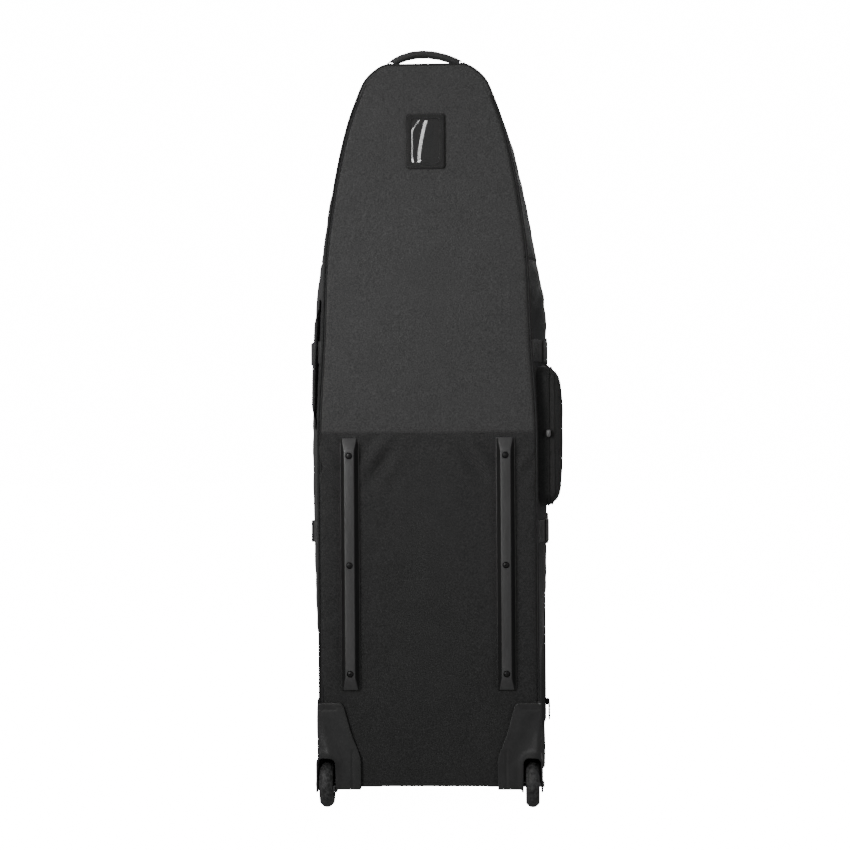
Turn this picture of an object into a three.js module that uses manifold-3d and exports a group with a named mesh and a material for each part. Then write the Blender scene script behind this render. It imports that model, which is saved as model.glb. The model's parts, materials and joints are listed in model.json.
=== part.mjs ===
// A wheeled soft golf travel case, standing upright on two in-line wheels and two front feet.
// Millimetres, +Z up. The wheel side (the back) faces -Y, the opening lid faces +Y, and +X is to the
// right when the back is looked at. The bag is drawn with its back plane at y = 0 and its middle at
// x = 0, and the last line moves it so that the origin is at the bottom centre of its bounding box.
import * as THREE from "three";
import { mergeVertices } from "three/addons/utils/BufferGeometryUtils.js";
import Module from "manifold-3d";

const wasm = await Module();
wasm.setup();

// ---------------------------------------------------------------- driving dimensions
const CENTRE = { x: 10.5, y: 141.25 }; // middle of the bounding box, in the bag's drawing frame
const GAP = 0.3; // clearance between neighbouring pieces
const WALL = 6; // padded fabric: face cloth, foam and lining
const BOARD = 3; // stiff board inside the back and the base
const BASE_Z = 38; // underside of the base above the floor
const FLOOR_Z = 44; // inside of the base
const TOP = 1289; // crown of the bag
const PANEL_SEAM_Z = 649; // seam between the heavy lower cloth and the light upper cloth
const HINGE_Z = 120; // fold of the lid, at the lower ends of the main zip
const LID_POWER = 3; // roundness of the lid's section: 2 is an ellipse, more is squarer

const WHEEL = { x: 178.5, y: 18, z: 40, radius: 40, half: 12, core: 24.5 };
const BEARING = { outer: 11, bore: 4.1, near: 4.2, far: 11.2 }; // an 8 x 22 x 7 ball bearing
const AXLE = { radius: 4, head: 6.5, headDepth: 2.4 };
const WELL = { x: 178.1, half: 15.1, top: 88.1, reach: 66, wall: 3.6, bottom: 29 };
const HOUSING = { back: -6, front: 110, bottom: 33.5, side: 193.5, skin: 189.3, inner: 118.5, top: 184 };
const RAIL = { x: 135, bottom: 206, top: 642, base: 34, crest: 17, height: 14, ramp: 22 };
const RIVET = { heights: [234.5, 422, 611.5], head: 5.6, sunk: 3, shank: 2.4, tail: 4.5 };
const FOOT = { x: 125, y: 227, length: 60, width: 34 };
const ID = { z: 1156, width: 67.5, height: 97, windowWidth: 48, windowHeight: 75, depth: 3.6 };
const TOP_HANDLE = { y: 68, span: 69, rise: 21, axis: 1296, thickness: 12, pin: 4 };
const SIDE_HANDLE = { y: 37, bottom: 684, top: 858, off: 5.4, thickness: 5.6, width: 26, bow: 1.2 };
const ZIP = { width: 7, thickness: 1.5, lift: 1.8, start: 125, parked: 160 };
const STRAP = { low: [453, 501], high: [768, 815], thickness: 1.8, lift: 0.4 };
const BUCKLE = { back: 150, split: 186, front: 212, thickness: 7, cavity: 3.4 };
const SIDE_POCKET = { y: 82, z: 644, width: 124, height: 244, zip: 210, skin: 4 };
const FRONT_POCKET = { z: 540, width: 250, height: 400, zip: 276, skin: 4 };
const INNER_STRAP = { z: 330, width: 38, reach: 150, buckle: [62, 50, 7] };

// ---------------------------------------------------------------- solids and meshes
const bag = new THREE.Group();

const looks = {
  light_cloth: [0x3f3f41, 0.85, 0],
  heavy_cloth: [0x2c2c2e, 0.9, 0],
  board: [0x1d1d1f, 0.7, 0],
  webbing: [0x1a1a1b, 0.85, 0],
  moulded: [0x2b2b2d, 0.5, 0],
  rail: [0x3a3a3c, 0.4, 0],
  rubber: [0x1b1b1c, 0.75, 0],
  tyre: [0x454547, 0.6, 0],
  core: [0x202022, 0.5, 0],
  steel: [0xb8bcc0, 0.3, 1],
  clear: [0xd8dcdc, 0.1, 0],
  card: [0x6a6a6c, 0.8, 0],
};

// Adds a named piece, from a three.js geometry or a manifold-3d solid, to a group of the bag.
function add(name, shape, look, parent = bag) {
  const [color, roughness, metalness] = looks[look];
  const geometry = shape.isBufferGeometry ? shape : geometryOf(shape);
  const mesh = new THREE.Mesh(geometry, new THREE.MeshStandardMaterial({ color, roughness, metalness }));
  mesh.name = name;
  parent.add(mesh);
}

function solidOf(geometry) {
  const bare = geometry.clone();
  bare.deleteAttribute("normal");
  bare.deleteAttribute("uv");
  const merged = mergeVertices(bare, 1e-4);
  return new wasm.Manifold(
    new wasm.Mesh({
      numProp: 3,
      vertProperties: merged.attributes.position.array,
      triVerts: new Uint32Array(merged.index.array),
    }),
  );
}

function geometryOf(solid) {
  const { numProp, vertProperties, triVerts } = solid.getMesh();
  const positions = vertProperties.filter((_, i) => i % numProp < 3);
  const geometry = new THREE.BufferGeometry();
  geometry.setAttribute("position", new THREE.BufferAttribute(positions, 3));
  geometry.setIndex(new THREE.BufferAttribute(triVerts, 1));
  return geometry;
}

const cut = (solid, ...tools) => tools.reduce((rest, tool) => rest.subtract(tool), solid);
const join = (...solids) => solids.reduce((all, solid) => all.add(solid));
const mirrored = (solid) => solid.mirror([1, 0, 0]);

// A box given by its lowest and highest corners.
function block(low, high) {
  const size = high.map((value, i) => value - low[i]);
  const box = new THREE.BoxGeometry(...size).translate(...low.map((value, i) => value + size[i] / 2));
  return solidOf(box);
}

// A cylinder from a to b.
function rod(a, b, radius, sides = 16) {
  const from = new THREE.Vector3(...a);
  const along = new THREE.Vector3(...b).sub(from);
  const turn = new THREE.Quaternion().setFromUnitVectors(
    new THREE.Vector3(0, 1, 0),
    along.clone().normalize(),
  );
  const cylinder = new THREE.CylinderGeometry(radius, radius, along.length(), sides);
  return solidOf(cylinder.applyQuaternion(turn).translate(...from.addScaledVector(along, 0.5).toArray()));
}

// Extrusions of an outline of [a, b] points: along Z in (x, y), along Y in (x, z), along X in (y, z).
function prism(outline, from, to, curveSegments) {
  const drawn = outline instanceof THREE.Shape;
  const shape = drawn ? outline : new THREE.Shape(outline.map((p) => new THREE.Vector2(...p)));
  const options = { depth: to - from, bevelEnabled: false, curveSegments };
  return new THREE.ExtrudeGeometry(shape, options).translate(0, 0, from);
}

const alongZ = (outline, from, to, curveSegments = 4) => solidOf(prism(outline, from, to, curveSegments));

function alongY(outline, from, to, curveSegments = 4) {
  return solidOf(prism(outline, -to, -from, curveSegments).rotateX(Math.PI / 2));
}

function alongX(outline, from, to, curveSegments = 4) {
  return solidOf(prism(outline, from, to, curveSegments).rotateX(Math.PI / 2).rotateZ(Math.PI / 2));
}

function roundedRectangle(width, height, radius) {
  const [w, h] = [width / 2 - radius, height / 2 - radius];
  const shape = new THREE.Shape();
  shape.absarc(w, -h, radius, -Math.PI / 2, 0);
  shape.absarc(w, h, radius, 0, Math.PI / 2);
  shape.absarc(-w, h, radius, Math.PI / 2, Math.PI);
  shape.absarc(-w, -h, radius, Math.PI, 1.5 * Math.PI);
  return shape;
}

// A closed solid through rings of equally many points, with flat ends cut up as `ends` says.
function loft(rings, ends) {
  const count = rings[0].length;
  const positions = rings.flat().flatMap((p) => p.toArray());
  const last = (rings.length - 1) * count;
  const index = ends.flatMap(([a, b, c]) => [c, b, a, last + a, last + b, last + c]);
  for (let start = 0; start < last; start += count) {
    for (let j = 0; j < count; j++) {
      const [a, b] = [start + j, start + ((j + 1) % count)];
      index.push(a, b, b + count, a, b + count, a + count);
    }
  }
  const geometry = new THREE.BufferGeometry();
  geometry.setAttribute("position", new THREE.Float32BufferAttribute(positions, 3));
  geometry.setIndex(index);
  const solid = solidOf(geometry);
  return solid.volume() < 0 ? solidOf(geometry.setIndex(index.reverse())) : solid;
}

// A stack of level outlines of [x, y] points, one for each height.
function stack(levels, outlineAt) {
  const outline = (z) => outlineAt(z).map(([x, y]) => new THREE.Vector2(x, y));
  const rings = levels.map((z) => outline(z).map((p) => new THREE.Vector3(p.x, p.y, z)));
  return loft(rings, THREE.ShapeUtils.triangulateShape(outline(levels[0]), []));
}

// A strip of constant section ([out, across] points, convex) along a run of points.
function swept(points, across, section) {
  const rings = points.map((p, i) => {
    const before = points[Math.max(i - 1, 0)];
    const after = points[Math.min(i + 1, points.length - 1)];
    const out = after.clone().sub(before).cross(across).normalize();
    return section(i).map(([a, b]) => p.clone().addScaledVector(out, a).addScaledVector(across, b));
  });
  const ends = rings[0].slice(2).map((_, j) => [0, j + 1, j + 2]);
  return loft(rings, ends);
}

const rectangle = (thickness, width) =>
  [[-1, -1], [1, -1], [1, 1], [-1, 1]].map(([a, b]) => [(a * thickness) / 2, (b * width) / 2]);

// A pad's section: a rectangle with its corners taken off.
function pad(thickness, width) {
  const [a, b, c] = [thickness / 2, width / 2, thickness / 3];
  const right = [[a - c, -b], [a, c - b], [a, b - c], [a - c, b]];
  return [...right, ...right.map(([x, y]) => [-x, y]).reverse()];
}

const spread = (from, to, steps) =>
  Array.from({ length: steps + 1 }, (_, i) => from + ((to - from) * i) / steps);

// A value against height, through [height, value] points, that never overshoots between them.
function profile(points) {
  const rise = points.slice(1).map((p, i) => (p[1] - points[i][1]) / (p[0] - points[i][0]));
  const slope = points.map((_, i) => {
    if (i === 0) return rise[0];
    if (i === points.length - 1) return rise[i - 1];
    const [before, after] = [rise[i - 1], rise[i]];
    return before * after <= 0 ? 0 : (2 * before * after) / (before + after);
  });
  return (height) => {
    const last = points.length - 2;
    const next = points.findIndex((p) => p[0] > height);
    const i = next < 0 ? last : Math.min(Math.max(next - 1, 0), last);
    const [[h0, v0], [h1, v1]] = [points[i], points[i + 1]];
    const t = THREE.MathUtils.clamp((height - h0) / (h1 - h0), 0, 1);
    const [t2, t3, span] = [t * t, t * t * t, h1 - h0];
    const ends = v0 * (2 * t3 - 3 * t2 + 1) + v1 * (3 * t2 - 2 * t3);
    return ends + span * (slope[i] * (t3 - 2 * t2 + t) + slope[i + 1] * (t3 - t2));
  };
}

// ---------------------------------------------------------------- the bag's outer skin
const seamHalf = profile([
  [38, 187], [640, 187], [811, 178], [950, 172.5], [1053, 160], [1123, 147.5],
  [1192, 130.5], [1227, 118], [1261, 104], [1274, 93], [TOP, 73],
]);
const zipHalf = profile([
  [38, 202], [811, 202], [880, 198], [950, 189.5], [1053, 171.5], [1123, 157],
  [1192, 138], [1227, 123.5], [1261, 107], [1274, 95.5], [TOP, 75],
]);
const bulge = profile([
  [190, 0], [362, 4], [465, 7], [768, 8], [880, 7],
  [950, 4], [1053, 3], [1192, 1.7], [1227, 0], [TOP, 0],
]);
const zipY = profile([[38, 190], [880, 190], [1000, 180], [1120, 160], [1200, 143], [TOP, 132]]);
const lidDepth = profile([
  [38, 66], [200, 66], [811, 78], [950, 80], [1053, 76],
  [1123, 68], [1192, 55], [1240, 42], [1274, 26], [TOP, 14],
]);
const backY = (z) => 22 * Math.max(0, (z - 900) / (TOP - 900)) ** 2;

const lowerLevels = [120, 190, 250, 310, 380, 465, 640];
const upperLevels = [700, 768, 815, 880, 950, 1005, 1060, 1115, 1160, 1200, 1232, 1258, 1274, 1283];

// How far out the gusset stands between the back seam (v = 0) and the zip (v = 1). Low down its
// rear stays flat under the wheel housing, and higher up it swells straight from the seam.
function swell(z, v) {
  const free = THREE.MathUtils.smoothstep(z, 190, 380);
  return THREE.MathUtils.lerp(v ** 4, 1 - (1 - v) ** 2.2, free);
}

// A point of the right gusset, moved out by `out`.
function gusset(z, v, out) {
  const x = THREE.MathUtils.lerp(seamHalf(z), zipHalf(z), swell(z, v));
  const y = THREE.MathUtils.lerp(backY(z) - out, zipY(z), v);
  return [x + bulge(z) * Math.sin(Math.PI * v) ** 2 + out, y];
}

// The bag's outline at one height, moved out by `out`.
function outline(z, out) {
  const right = spread(0, 1, 5).map((v) => gusset(z, v, out));
  const front = spread(0, Math.PI, 12).slice(1, -1).map((angle) => {
    const across = Math.sign(Math.cos(angle)) * Math.abs(Math.cos(angle)) ** (2 / LID_POWER);
    const ahead = Math.sin(angle) ** (2 / LID_POWER);
    return [(zipHalf(z) + out) * across, zipY(z) + (lidDepth(z) + out) * ahead];
  });
  return [...right, ...front, ...right.map(([x, y]) => [-x, y]).reverse()];
}

// The whole bag as a solid, moved out by `out`, between two heights.
function body(out, from, to) {
  const between = [...lowerLevels, ...upperLevels].filter((z) => z > from + 1 && z < to - 1);
  return stack([from, ...between, to], (z) => outline(z, out));
}

// The space ahead of a curve given as y against height.
function ahead(yAt, from = 0, to = 1400) {
  const between = [...lowerLevels, ...upperLevels, TOP].filter((z) => z > from && z < to);
  const levels = [from, ...between, to];
  return alongX([...levels.map((z) => [yAt(z), z]), [600, to], [600, from]], -300, 300);
}

// The room that the moulded wheel wells take out of the bag, on both sides.
const wellRoom = block(
  [WELL.x - WELL.half - WELL.wall - GAP, -12, 20],
  [HOUSING.side + WALL, WELL.reach + WELL.wall + 0.8, WELL.top + WELL.wall + 0.7],
);
const wells = [wellRoom, mirrored(wellRoom)];
const outerBody = body(0, BASE_Z, TOP);
const shell = cut(outerBody, body(-WALL, FLOOR_Z - 14, TOP - WALL));
const rightHalf = block([0, -50, 0], [300, 600, 1400]);

function rivetHoles(from, to) {
  return RIVET.heights.flatMap((z) =>
    [-RAIL.x, RAIL.x].map((x) => rod([x, from, z], [x, to, z], RIVET.shank + 0.2, 8)),
  );
}

// ---------------------------------------------------------------- cloth panels and boards
function backPanels() {
  const slab = cut(outerBody, ahead((z) => backY(z) + WALL));
  const lower = slab.intersect(block([-300, -50, 0], [300, 50, PANEL_SEAM_Z - 0.5]));
  const upper = slab.intersect(block([-300, -50, PANEL_SEAM_Z + 0.5], [300, 50, 1400]));
  add("back_panel_lower", cut(lower, ...wells, ...rivetHoles(-2, 8)), "heavy_cloth");
  add("back_panel_upper", upper, "light_cloth");
}

const crownSpace = block([-67, 0, TOP - WALL - 1], [67, 600, 1400]);
const behindZip = cut(ahead((z) => backY(z) + WALL + GAP), ahead((z) => zipY(z) - 0.5));

function gussetsAndCrown() {
  const walls = cut(shell.intersect(behindZip), block([-300, -50, 0], [300, 600, FLOOR_Z]));
  const right = cut(walls.intersect(rightHalf), crownSpace, ...wells);
  add("gusset_right", right, "heavy_cloth");
  add("gusset_left", mirrored(right), "heavy_cloth");
  const top = block([-66.5, 0, TOP - WALL], [66.5, 600, 1400]);
  add("crown_panel", outerBody.intersect(behindZip).intersect(top), "light_cloth");
}

function frontPanels() {
  const front = shell.intersect(ahead((z) => zipY(z) + 0.5));
  const apronSpace = block([-300, -50, FLOOR_Z], [300, 600, HINGE_Z - 0.5]);
  const lidSpace = block([-300, -50, HINGE_Z + 0.5], [300, 600, 1400]);
  add("front_apron", front.intersect(apronSpace), "heavy_cloth");
  add("lid_panel", front.intersect(lidSpace), "light_cloth");
}

function base() {
  const slab = outerBody.intersect(block([-300, WALL + GAP, 0], [300, 600, FLOOR_Z - GAP]));
  add("base_panel", cut(slab, ...wells), "heavy_cloth");
  const floor = alongZ(roundedRectangle(300, 216, 20), FLOOR_Z, FLOOR_Z + BOARD);
  add("base_board", floor.translate([0, 124, 0]), "board");
  const back = block([-156, WALL + GAP, 98], [156, WALL + GAP + BOARD, 640]);
  add("back_board", cut(back, ...rivetHoles(2, 14)), "board");
}

// ---------------------------------------------------------------- seam piping and main zip
// A path up the right side, over the crown and down the left side, `out` outside half widths given
// against height, at the depth that `yAt` gives.
function archPath(half, yAt, out, from) {
  const levels = [from, ...[...lowerLevels, ...upperLevels].filter((z) => z > from + 1), TOP - 0.5];
  const right = levels.map((z) => {
    const normal = new THREE.Vector2(1, half(z - 0.5) - half(z + 0.5)).setLength(out);
    return new THREE.Vector3(half(z) + normal.x, yAt(z), z + normal.y);
  });
  const across = spread(half(TOP) - 4, 4 - half(TOP), 2);
  const top = across.map((x) => new THREE.Vector3(x, yAt(TOP), TOP + out));
  return [...right, ...top, ...right.map((p) => new THREE.Vector3(-p.x, p.y, p.z)).reverse()];
}

function pipingAndZip() {
  const across = new THREE.Vector3(0, 1, 0);
  const cord = spread(0, 2 * Math.PI, 5).slice(1).map((a) => [2 * Math.cos(a), 2 * Math.sin(a)]);
  const seam = archPath(seamHalf, (z) => backY(z) + 1.5, 2.6, HOUSING.top + 3);
  add("seam_piping", swept(seam, across, () => cord), "rubber");
  const tape = (side) => {
    const path = archPath(zipHalf, (z) => zipY(z) + side * (0.5 + ZIP.width / 2), ZIP.lift, ZIP.start);
    return swept(path, across, () => rectangle(ZIP.thickness, ZIP.width));
  };
  add("main_zip_tape_body", tape(-1), "webbing");
  add("main_zip_tape_lid", tape(1), "webbing");
}

// A zip slider on a zip that runs along Z on a face whose outside is +X. Its bar holds the pull.
function slider() {
  const lugs = [-2.9, 2.1].map((y) => block([3, y, -2], [7.2, y + 0.8, 2]));
  const bar = rod([5.8, -2.5, 0], [5.8, 2.5, 0], 0.8, 8);
  return join(alongX(roundedRectangle(8.6, 13, 2.5), 0, 3.6, 2), ...lugs, bar);
}

// Its pull hangs from the bar, whose axis is at x = 5.8, z = 0.
function pull(length) {
  const eye = rod([5.8, -1.8, 0], [5.8, 1.8, 0], 2, 12);
  const stem = block([5, -1.8, -8], [6.6, 1.8, -1.4]);
  const tab = alongX(roundedRectangle(8, length, 2.5), 4.7, 6.9, 2).translate([0, 0, -7 - length / 2]);
  return cut(join(eye, stem, tab), rod([5.8, -3, 0], [5.8, 3, 0], 1.25, 8));
}

function placed(x, y, z, turn) {
  const group = new THREE.Group();
  group.position.set(x, y, z);
  group.rotation.z = turn;
  bag.add(group);
  return group;
}

function mainSliders() {
  const outside = zipHalf(ZIP.parked) + ZIP.lift + ZIP.thickness / 2 + 0.5;
  for (const [side, x, turn] of [["right", outside, 0], ["left", -outside, Math.PI]]) {
    const place = placed(x, zipY(ZIP.parked), ZIP.parked, turn);
    add("main_zip_slider_" + side, slider(), "steel", place);
    add("main_zip_pull_" + side, pull(26), "rubber", place);
  }
}

// ---------------------------------------------------------------- pockets
// A pocket drawn flat: x across, y up, z out of the bag. `face` gives the outer face as [y, z]
// points. The wall is the ring nearest the bag, up to the zip, and the flap is the tray above it,
// which folds down about the lower edge of the zip.
function pocket({ width, height, radius, face, zip, skin }) {
  const full = roundedRectangle(width, height, radius);
  const hollow = roundedRectangle(width - 2 * skin, height - 2 * skin, Math.max(radius - skin, 2));
  const under = (drop) => {
    const top = face.map(([y, z]) => [y, z - drop]);
    const [first, last] = [top[0][1], top.at(-1)[1]];
    const section = [[-height, -40], [-height, first], ...top, [height, last], [height, -40]];
    return alongX(section, -width, width);
  };
  const wall = cut(alongZ(full, zip - 40, zip - 0.4), alongZ(hollow, zip - 41, zip));
  const outer = alongZ(full, zip + 0.4, zip + 80).intersect(under(0));
  const inner = alongZ(hollow, zip - 1, zip + 80).intersect(under(skin));
  return [wall, cut(outer, inner)];
}

function sidePocket() {
  const face = [
    [-121, 222], [-112, 226], [-95, 230.5], [-50, 233.6],
    [40, 233.8], [95, 230.5], [112, 225], [121, 217],
  ];
  const { y, z, width, height, zip, skin } = SIDE_POCKET;
  const parts = pocket({ width, height, radius: 24, face, zip, skin });
  const upright = (solid) => solid.rotate([90, 0, 0]).rotate([0, 0, 90]).translate([0, y, z]);
  const [wall, flap] = parts.map(upright);
  add("side_pocket_wall", cut(wall, body(GAP, 400, 900)), "heavy_cloth");
  add("side_pocket_flap", flap, "heavy_cloth");
  const place = placed(zip, y - width / 2 - 0.4, z + 4, -Math.PI / 2);
  add("side_pocket_slider", slider(), "steel", place);
}

function frontPocket() {
  const { z, width, height, zip, skin } = FRONT_POCKET;
  const face = [
    [-199, 284], [-185, 292], [-150, 300], [-60, 304.5],
    [60, 304.5], [150, 299], [185, 290], [199, 282],
  ];
  const parts = pocket({ width, height, radius: 30, face, zip, skin });
  const upright = (solid) => solid.rotate([90, 0, 0]).rotate([0, 0, 180]).translate([0, 0, z]);
  const [wall, flap] = parts.map(upright);
  add("front_pocket_wall", cut(wall, body(GAP, 250, 900)), "heavy_cloth");
  add("front_pocket_flap", flap, "light_cloth");
}

// ---------------------------------------------------------------- straps and buckles
// Each side strap runs from the back seam to a buckle socket behind the zip. The plug is sewn to
// the lid, and draws straight forward out of the socket as the lid opens.
function sideStraps() {
  for (const [level, [low, high]] of [["lower", STRAP.low], ["upper", STRAP.high]]) {
    const middle = (low + high) / 2;
    const outside = body(STRAP.lift + STRAP.thickness, low, high);
    const webbing = cut(outside, body(STRAP.lift, low - 2, high + 2)).intersect(
      block([100, 8, 0], [300, BUCKLE.back + 8, 1400]),
    );
    const [zipX, zipMiddle] = [zipHalf(low) + ZIP.lift + ZIP.thickness, zipY(middle)];
    const zipSpace = block([0, zipMiddle - ZIP.width - 1, 0], [zipX, zipMiddle + ZIP.width + 1, 1400]);
    const under = join(body(STRAP.lift, low - 20, high + 20), zipSpace);
    const reach = 204 + BUCKLE.thickness;
    const slab = (from, to, height) =>
      alongX(roundedRectangle(to - from, height, 4), 196, reach).translate([0, (from + to) / 2, middle]);
    const floor = reach - 2 - BUCKLE.cavity;
    const mouth = block([floor - 0.9, 164, middle - 19], [reach - 1.6, 300, middle + 19]);
    const socket = cut(slab(BUCKLE.back, BUCKLE.split - 1, 56), mouth);
    const tongue = block([floor, 169, middle - 15], [reach - 2.4, 200, middle + 15]);
    const plug = join(slab(BUCKLE.split, BUCKLE.front, 50), tongue);
    for (const [side, hand] of [["right", (solid) => solid], ["left", mirrored]]) {
      add(`strap_${side}_${level}`, hand(join(webbing, cut(socket, under))), "webbing");
      add(`strap_plug_${side}_${level}`, hand(cut(plug, under)), "moulded");
    }
  }
}

function innerStrap() {
  const { z, width, reach, buckle } = INNER_STRAP;
  const back = WALL + 2 * GAP + BOARD;
  const webbing = block([-reach, back, z - width / 2], [reach, back + 1.8, z + width / 2]);
  const plate = alongY(roundedRectangle(buckle[0], buckle[1], 8), back, back + buckle[2]);
  add("inner_strap", join(webbing, plate.translate([0, 0, z])), "webbing");
}

// ---------------------------------------------------------------- wheels
// A ring about the X axis, from a closed profile of [radius, x] points.
function ring(points, sides) {
  const profileOf = (run) => [...run, run[0]].map((p) => new THREE.Vector2(...p));
  const lathe = (run) => new THREE.LatheGeometry(profileOf(run), sides).rotateZ(-Math.PI / 2);
  const turned = (run) => solidOf(lathe(run));
  const solid = turned(points);
  return solid.volume() < 0 ? turned([...points].reverse()) : solid;
}

function wheelPieces() {
  const { core, half } = WHEEL;
  const { outer, bore, near, far } = BEARING;
  const tread = spread(-1, 1, 4).map((t) => [WHEEL.radius - 7 * Math.abs(t) ** 2.4, half * t * 0.98]);
  const tyre = [[core + GAP, -10], [30, -half], ...tread, [30, half], [core + GAP, 10]];
  const rim = [
    [outer + GAP, far], [outer + GAP, near - GAP], [bore + 2, near - GAP], [bore + 2, GAP - near],
    [outer + GAP, GAP - near], [outer + GAP, -far], [15, -far], [core, -9], [core, 9], [15, far],
  ];
  const race = [[bore, near], [bore, far], [outer, far], [outer, near]];
  const bearing = (side) => race.map(([radius, x]) => [radius, side * x]);
  return {
    tyre: ring(tyre, 24),
    core: ring(rim, 16),
    bearing_inner: ring(bearing(-1), 16),
    bearing_outer: ring(bearing(1), 16),
  };
}

function wheels() {
  const pieces = wheelPieces();
  const { x, y, z } = WHEEL;
  for (const [side, hand] of [["right", (solid) => solid], ["left", mirrored]]) {
    const look = { tyre: "tyre", core: "core", bearing_inner: "steel", bearing_outer: "steel" };
    for (const [name, solid] of Object.entries(pieces)) {
      add(`wheel_${name}_${side}`, hand(solid.translate([x, y, z])), look[name]);
    }
    const [inside, outside] = [WELL.x - WELL.half, WELL.x + WELL.half];
    const pin = rod([inside - WELL.wall + 0.2, y, z], [outside + WELL.wall + 1, y, z], AXLE.radius);
    const bearings = BEARING.far + GAP;
    const shoulders = [[inside + GAP, x - bearings], [x + bearings, outside - GAP]];
    const head = [outside + WELL.wall + GAP, outside + WELL.wall + AXLE.headDepth];
    const collars = shoulders.map(([from, to]) => rod([from, y, z], [to, y, z], 5.6, 10));
    const cap = rod([head[0], y, z], [head[1], y, z], AXLE.head, 12);
    add(`wheel_axle_${side}`, hand(join(pin, ...collars, cap)), "steel");
  }
}

// A moulded corner: a plate on the back, a cheek on the side and a sole, with the wheel well in it.
function housings() {
  const { back, front, bottom, side, skin, inner, top } = HOUSING;
  const face = [
    [side, bottom], [side, top - 3], [side - 3, top], [inner + 33.5, top], [inner + 29.5, top - 4],
    [inner + 15.5, 128], [inner + 3.5, 98.5], [inner, 88], [inner, bottom],
  ];
  const cheek = [[back, bottom], [front, bottom], [front, 66], [84, 118], [52, 158], [20, 178], [back, top]];
  const outer = alongY(face, back, front).intersect(alongX(cheek, 0, 300));
  const bagSpace = block([0, -GAP, BASE_Z - GAP], [skin, 300, 400]);
  const { wall } = WELL;
  const [inside, outside] = [WELL.x - WELL.half, WELL.x + WELL.half];
  const low = [inside - wall, back, WELL.bottom];
  const box = block(low, [outside + wall, WELL.reach + wall, WELL.top + wall]);
  const space = block([inside, back - 30, 0], [outside, WELL.reach, WELL.top]);
  const axle = rod([inside - 10, WHEEL.y, WHEEL.z], [outside + 10, WHEEL.y, WHEEL.z], AXLE.radius + GAP);
  const rib = [[166, 100], [150, 100], [136, 128], [160, 176], [186, 176], [186, 100]];
  const ridge = alongY(rib, back - 3, back + 2);
  const housing = cut(join(cut(outer, bagSpace), ridge, box), space, axle);
  add("wheel_housing_right", housing, "moulded");
  add("wheel_housing_left", mirrored(housing), "moulded");
}

// ---------------------------------------------------------------- rails, rivets and feet
function rails() {
  const { x, bottom, top, base: foot, crest, height, ramp } = RAIL;
  const face = -height - GAP;
  const [low, high] = [foot / 2, crest / 2];
  const section = [[x - low, -GAP], [x - high, face], [x + high, face], [x + low, -GAP]];
  const side = [[-GAP, bottom], [face, bottom + ramp], [face, top - ramp], [-GAP, top]];
  const floor = face + RIVET.sunk;
  const holes = RIVET.heights.flatMap((z) => [
    rod([x, -30, z], [x, floor, z], RIVET.head + GAP, 12),
    rod([x, -30, z], [x, 5, z], RIVET.shank + 0.2, 8),
  ]);
  const rail = cut(alongZ(section, bottom, top).intersect(alongX(side, 0, 300)), ...holes);
  add("skid_rail_right", rail, "rail");
  add("skid_rail_left", mirrored(rail), "rail");
  const inside = WALL + 2 * GAP + BOARD;
  const names = ["bottom", "middle", "top"];
  RIVET.heights.forEach((z, i) => {
    const head = rod([x, floor - 2, z], [x, floor - GAP, z], RIVET.head, 12);
    const tail = rod([x, inside, z], [x, inside + 1.6, z], RIVET.tail, 10);
    const rivet = join(head, rod([x, floor - 1, z], [x, inside + 1, z], RIVET.shank, 8), tail);
    add(`rail_rivet_right_${names[i]}`, rivet, "moulded");
    add(`rail_rivet_left_${names[i]}`, mirrored(rivet), "moulded");
  });
}

function feet() {
  const ringAt = (z) => {
    const grow = 1 + z / 400;
    const shape = roundedRectangle(FOOT.length * grow, FOOT.width * grow, 9);
    return shape.getPoints(3).slice(0, -1).map((p) => [p.x + FOOT.x, p.y + FOOT.y]);
  };
  const foot = stack([0, 3, BASE_Z - GAP], ringAt);
  add("front_foot_right", foot, "rubber");
  add("front_foot_left", mirrored(foot), "rubber");
}

// ---------------------------------------------------------------- ID window
// A frame sewn to the upper back, with a clear window, and a card that slides up out of it.
function idHolder() {
  const rise = backY(ID.z + 1) - backY(ID.z);
  const place = new THREE.Group();
  place.position.set(0, backY(ID.z) - 0.6, ID.z);
  place.rotation.x = -Math.atan(rise);
  bag.add(place);
  const { width, height, windowWidth, windowHeight, depth } = ID;
  const sheet = (w, h, radius, from, to) => alongY(roundedRectangle(w, h, radius), from, to, 2);
  const mouth = block([-26, -1.9, 0], [26, 1, height]);
  const frame = cut(
    sheet(width, height, 4, -depth, 0),
    sheet(windowWidth, windowHeight, 6, -depth - 1, 1),
    sheet(54, 81, 3, -2.6, 1),
    mouth,
  );
  add("id_frame", frame, "rubber", place);
  add("id_window", sheet(53, 80, 3, -2.4, -1.8), "clear", place);
  add("id_card", sheet(50, 78, 3, -1.5, -0.8), "card", place);
}

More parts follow.
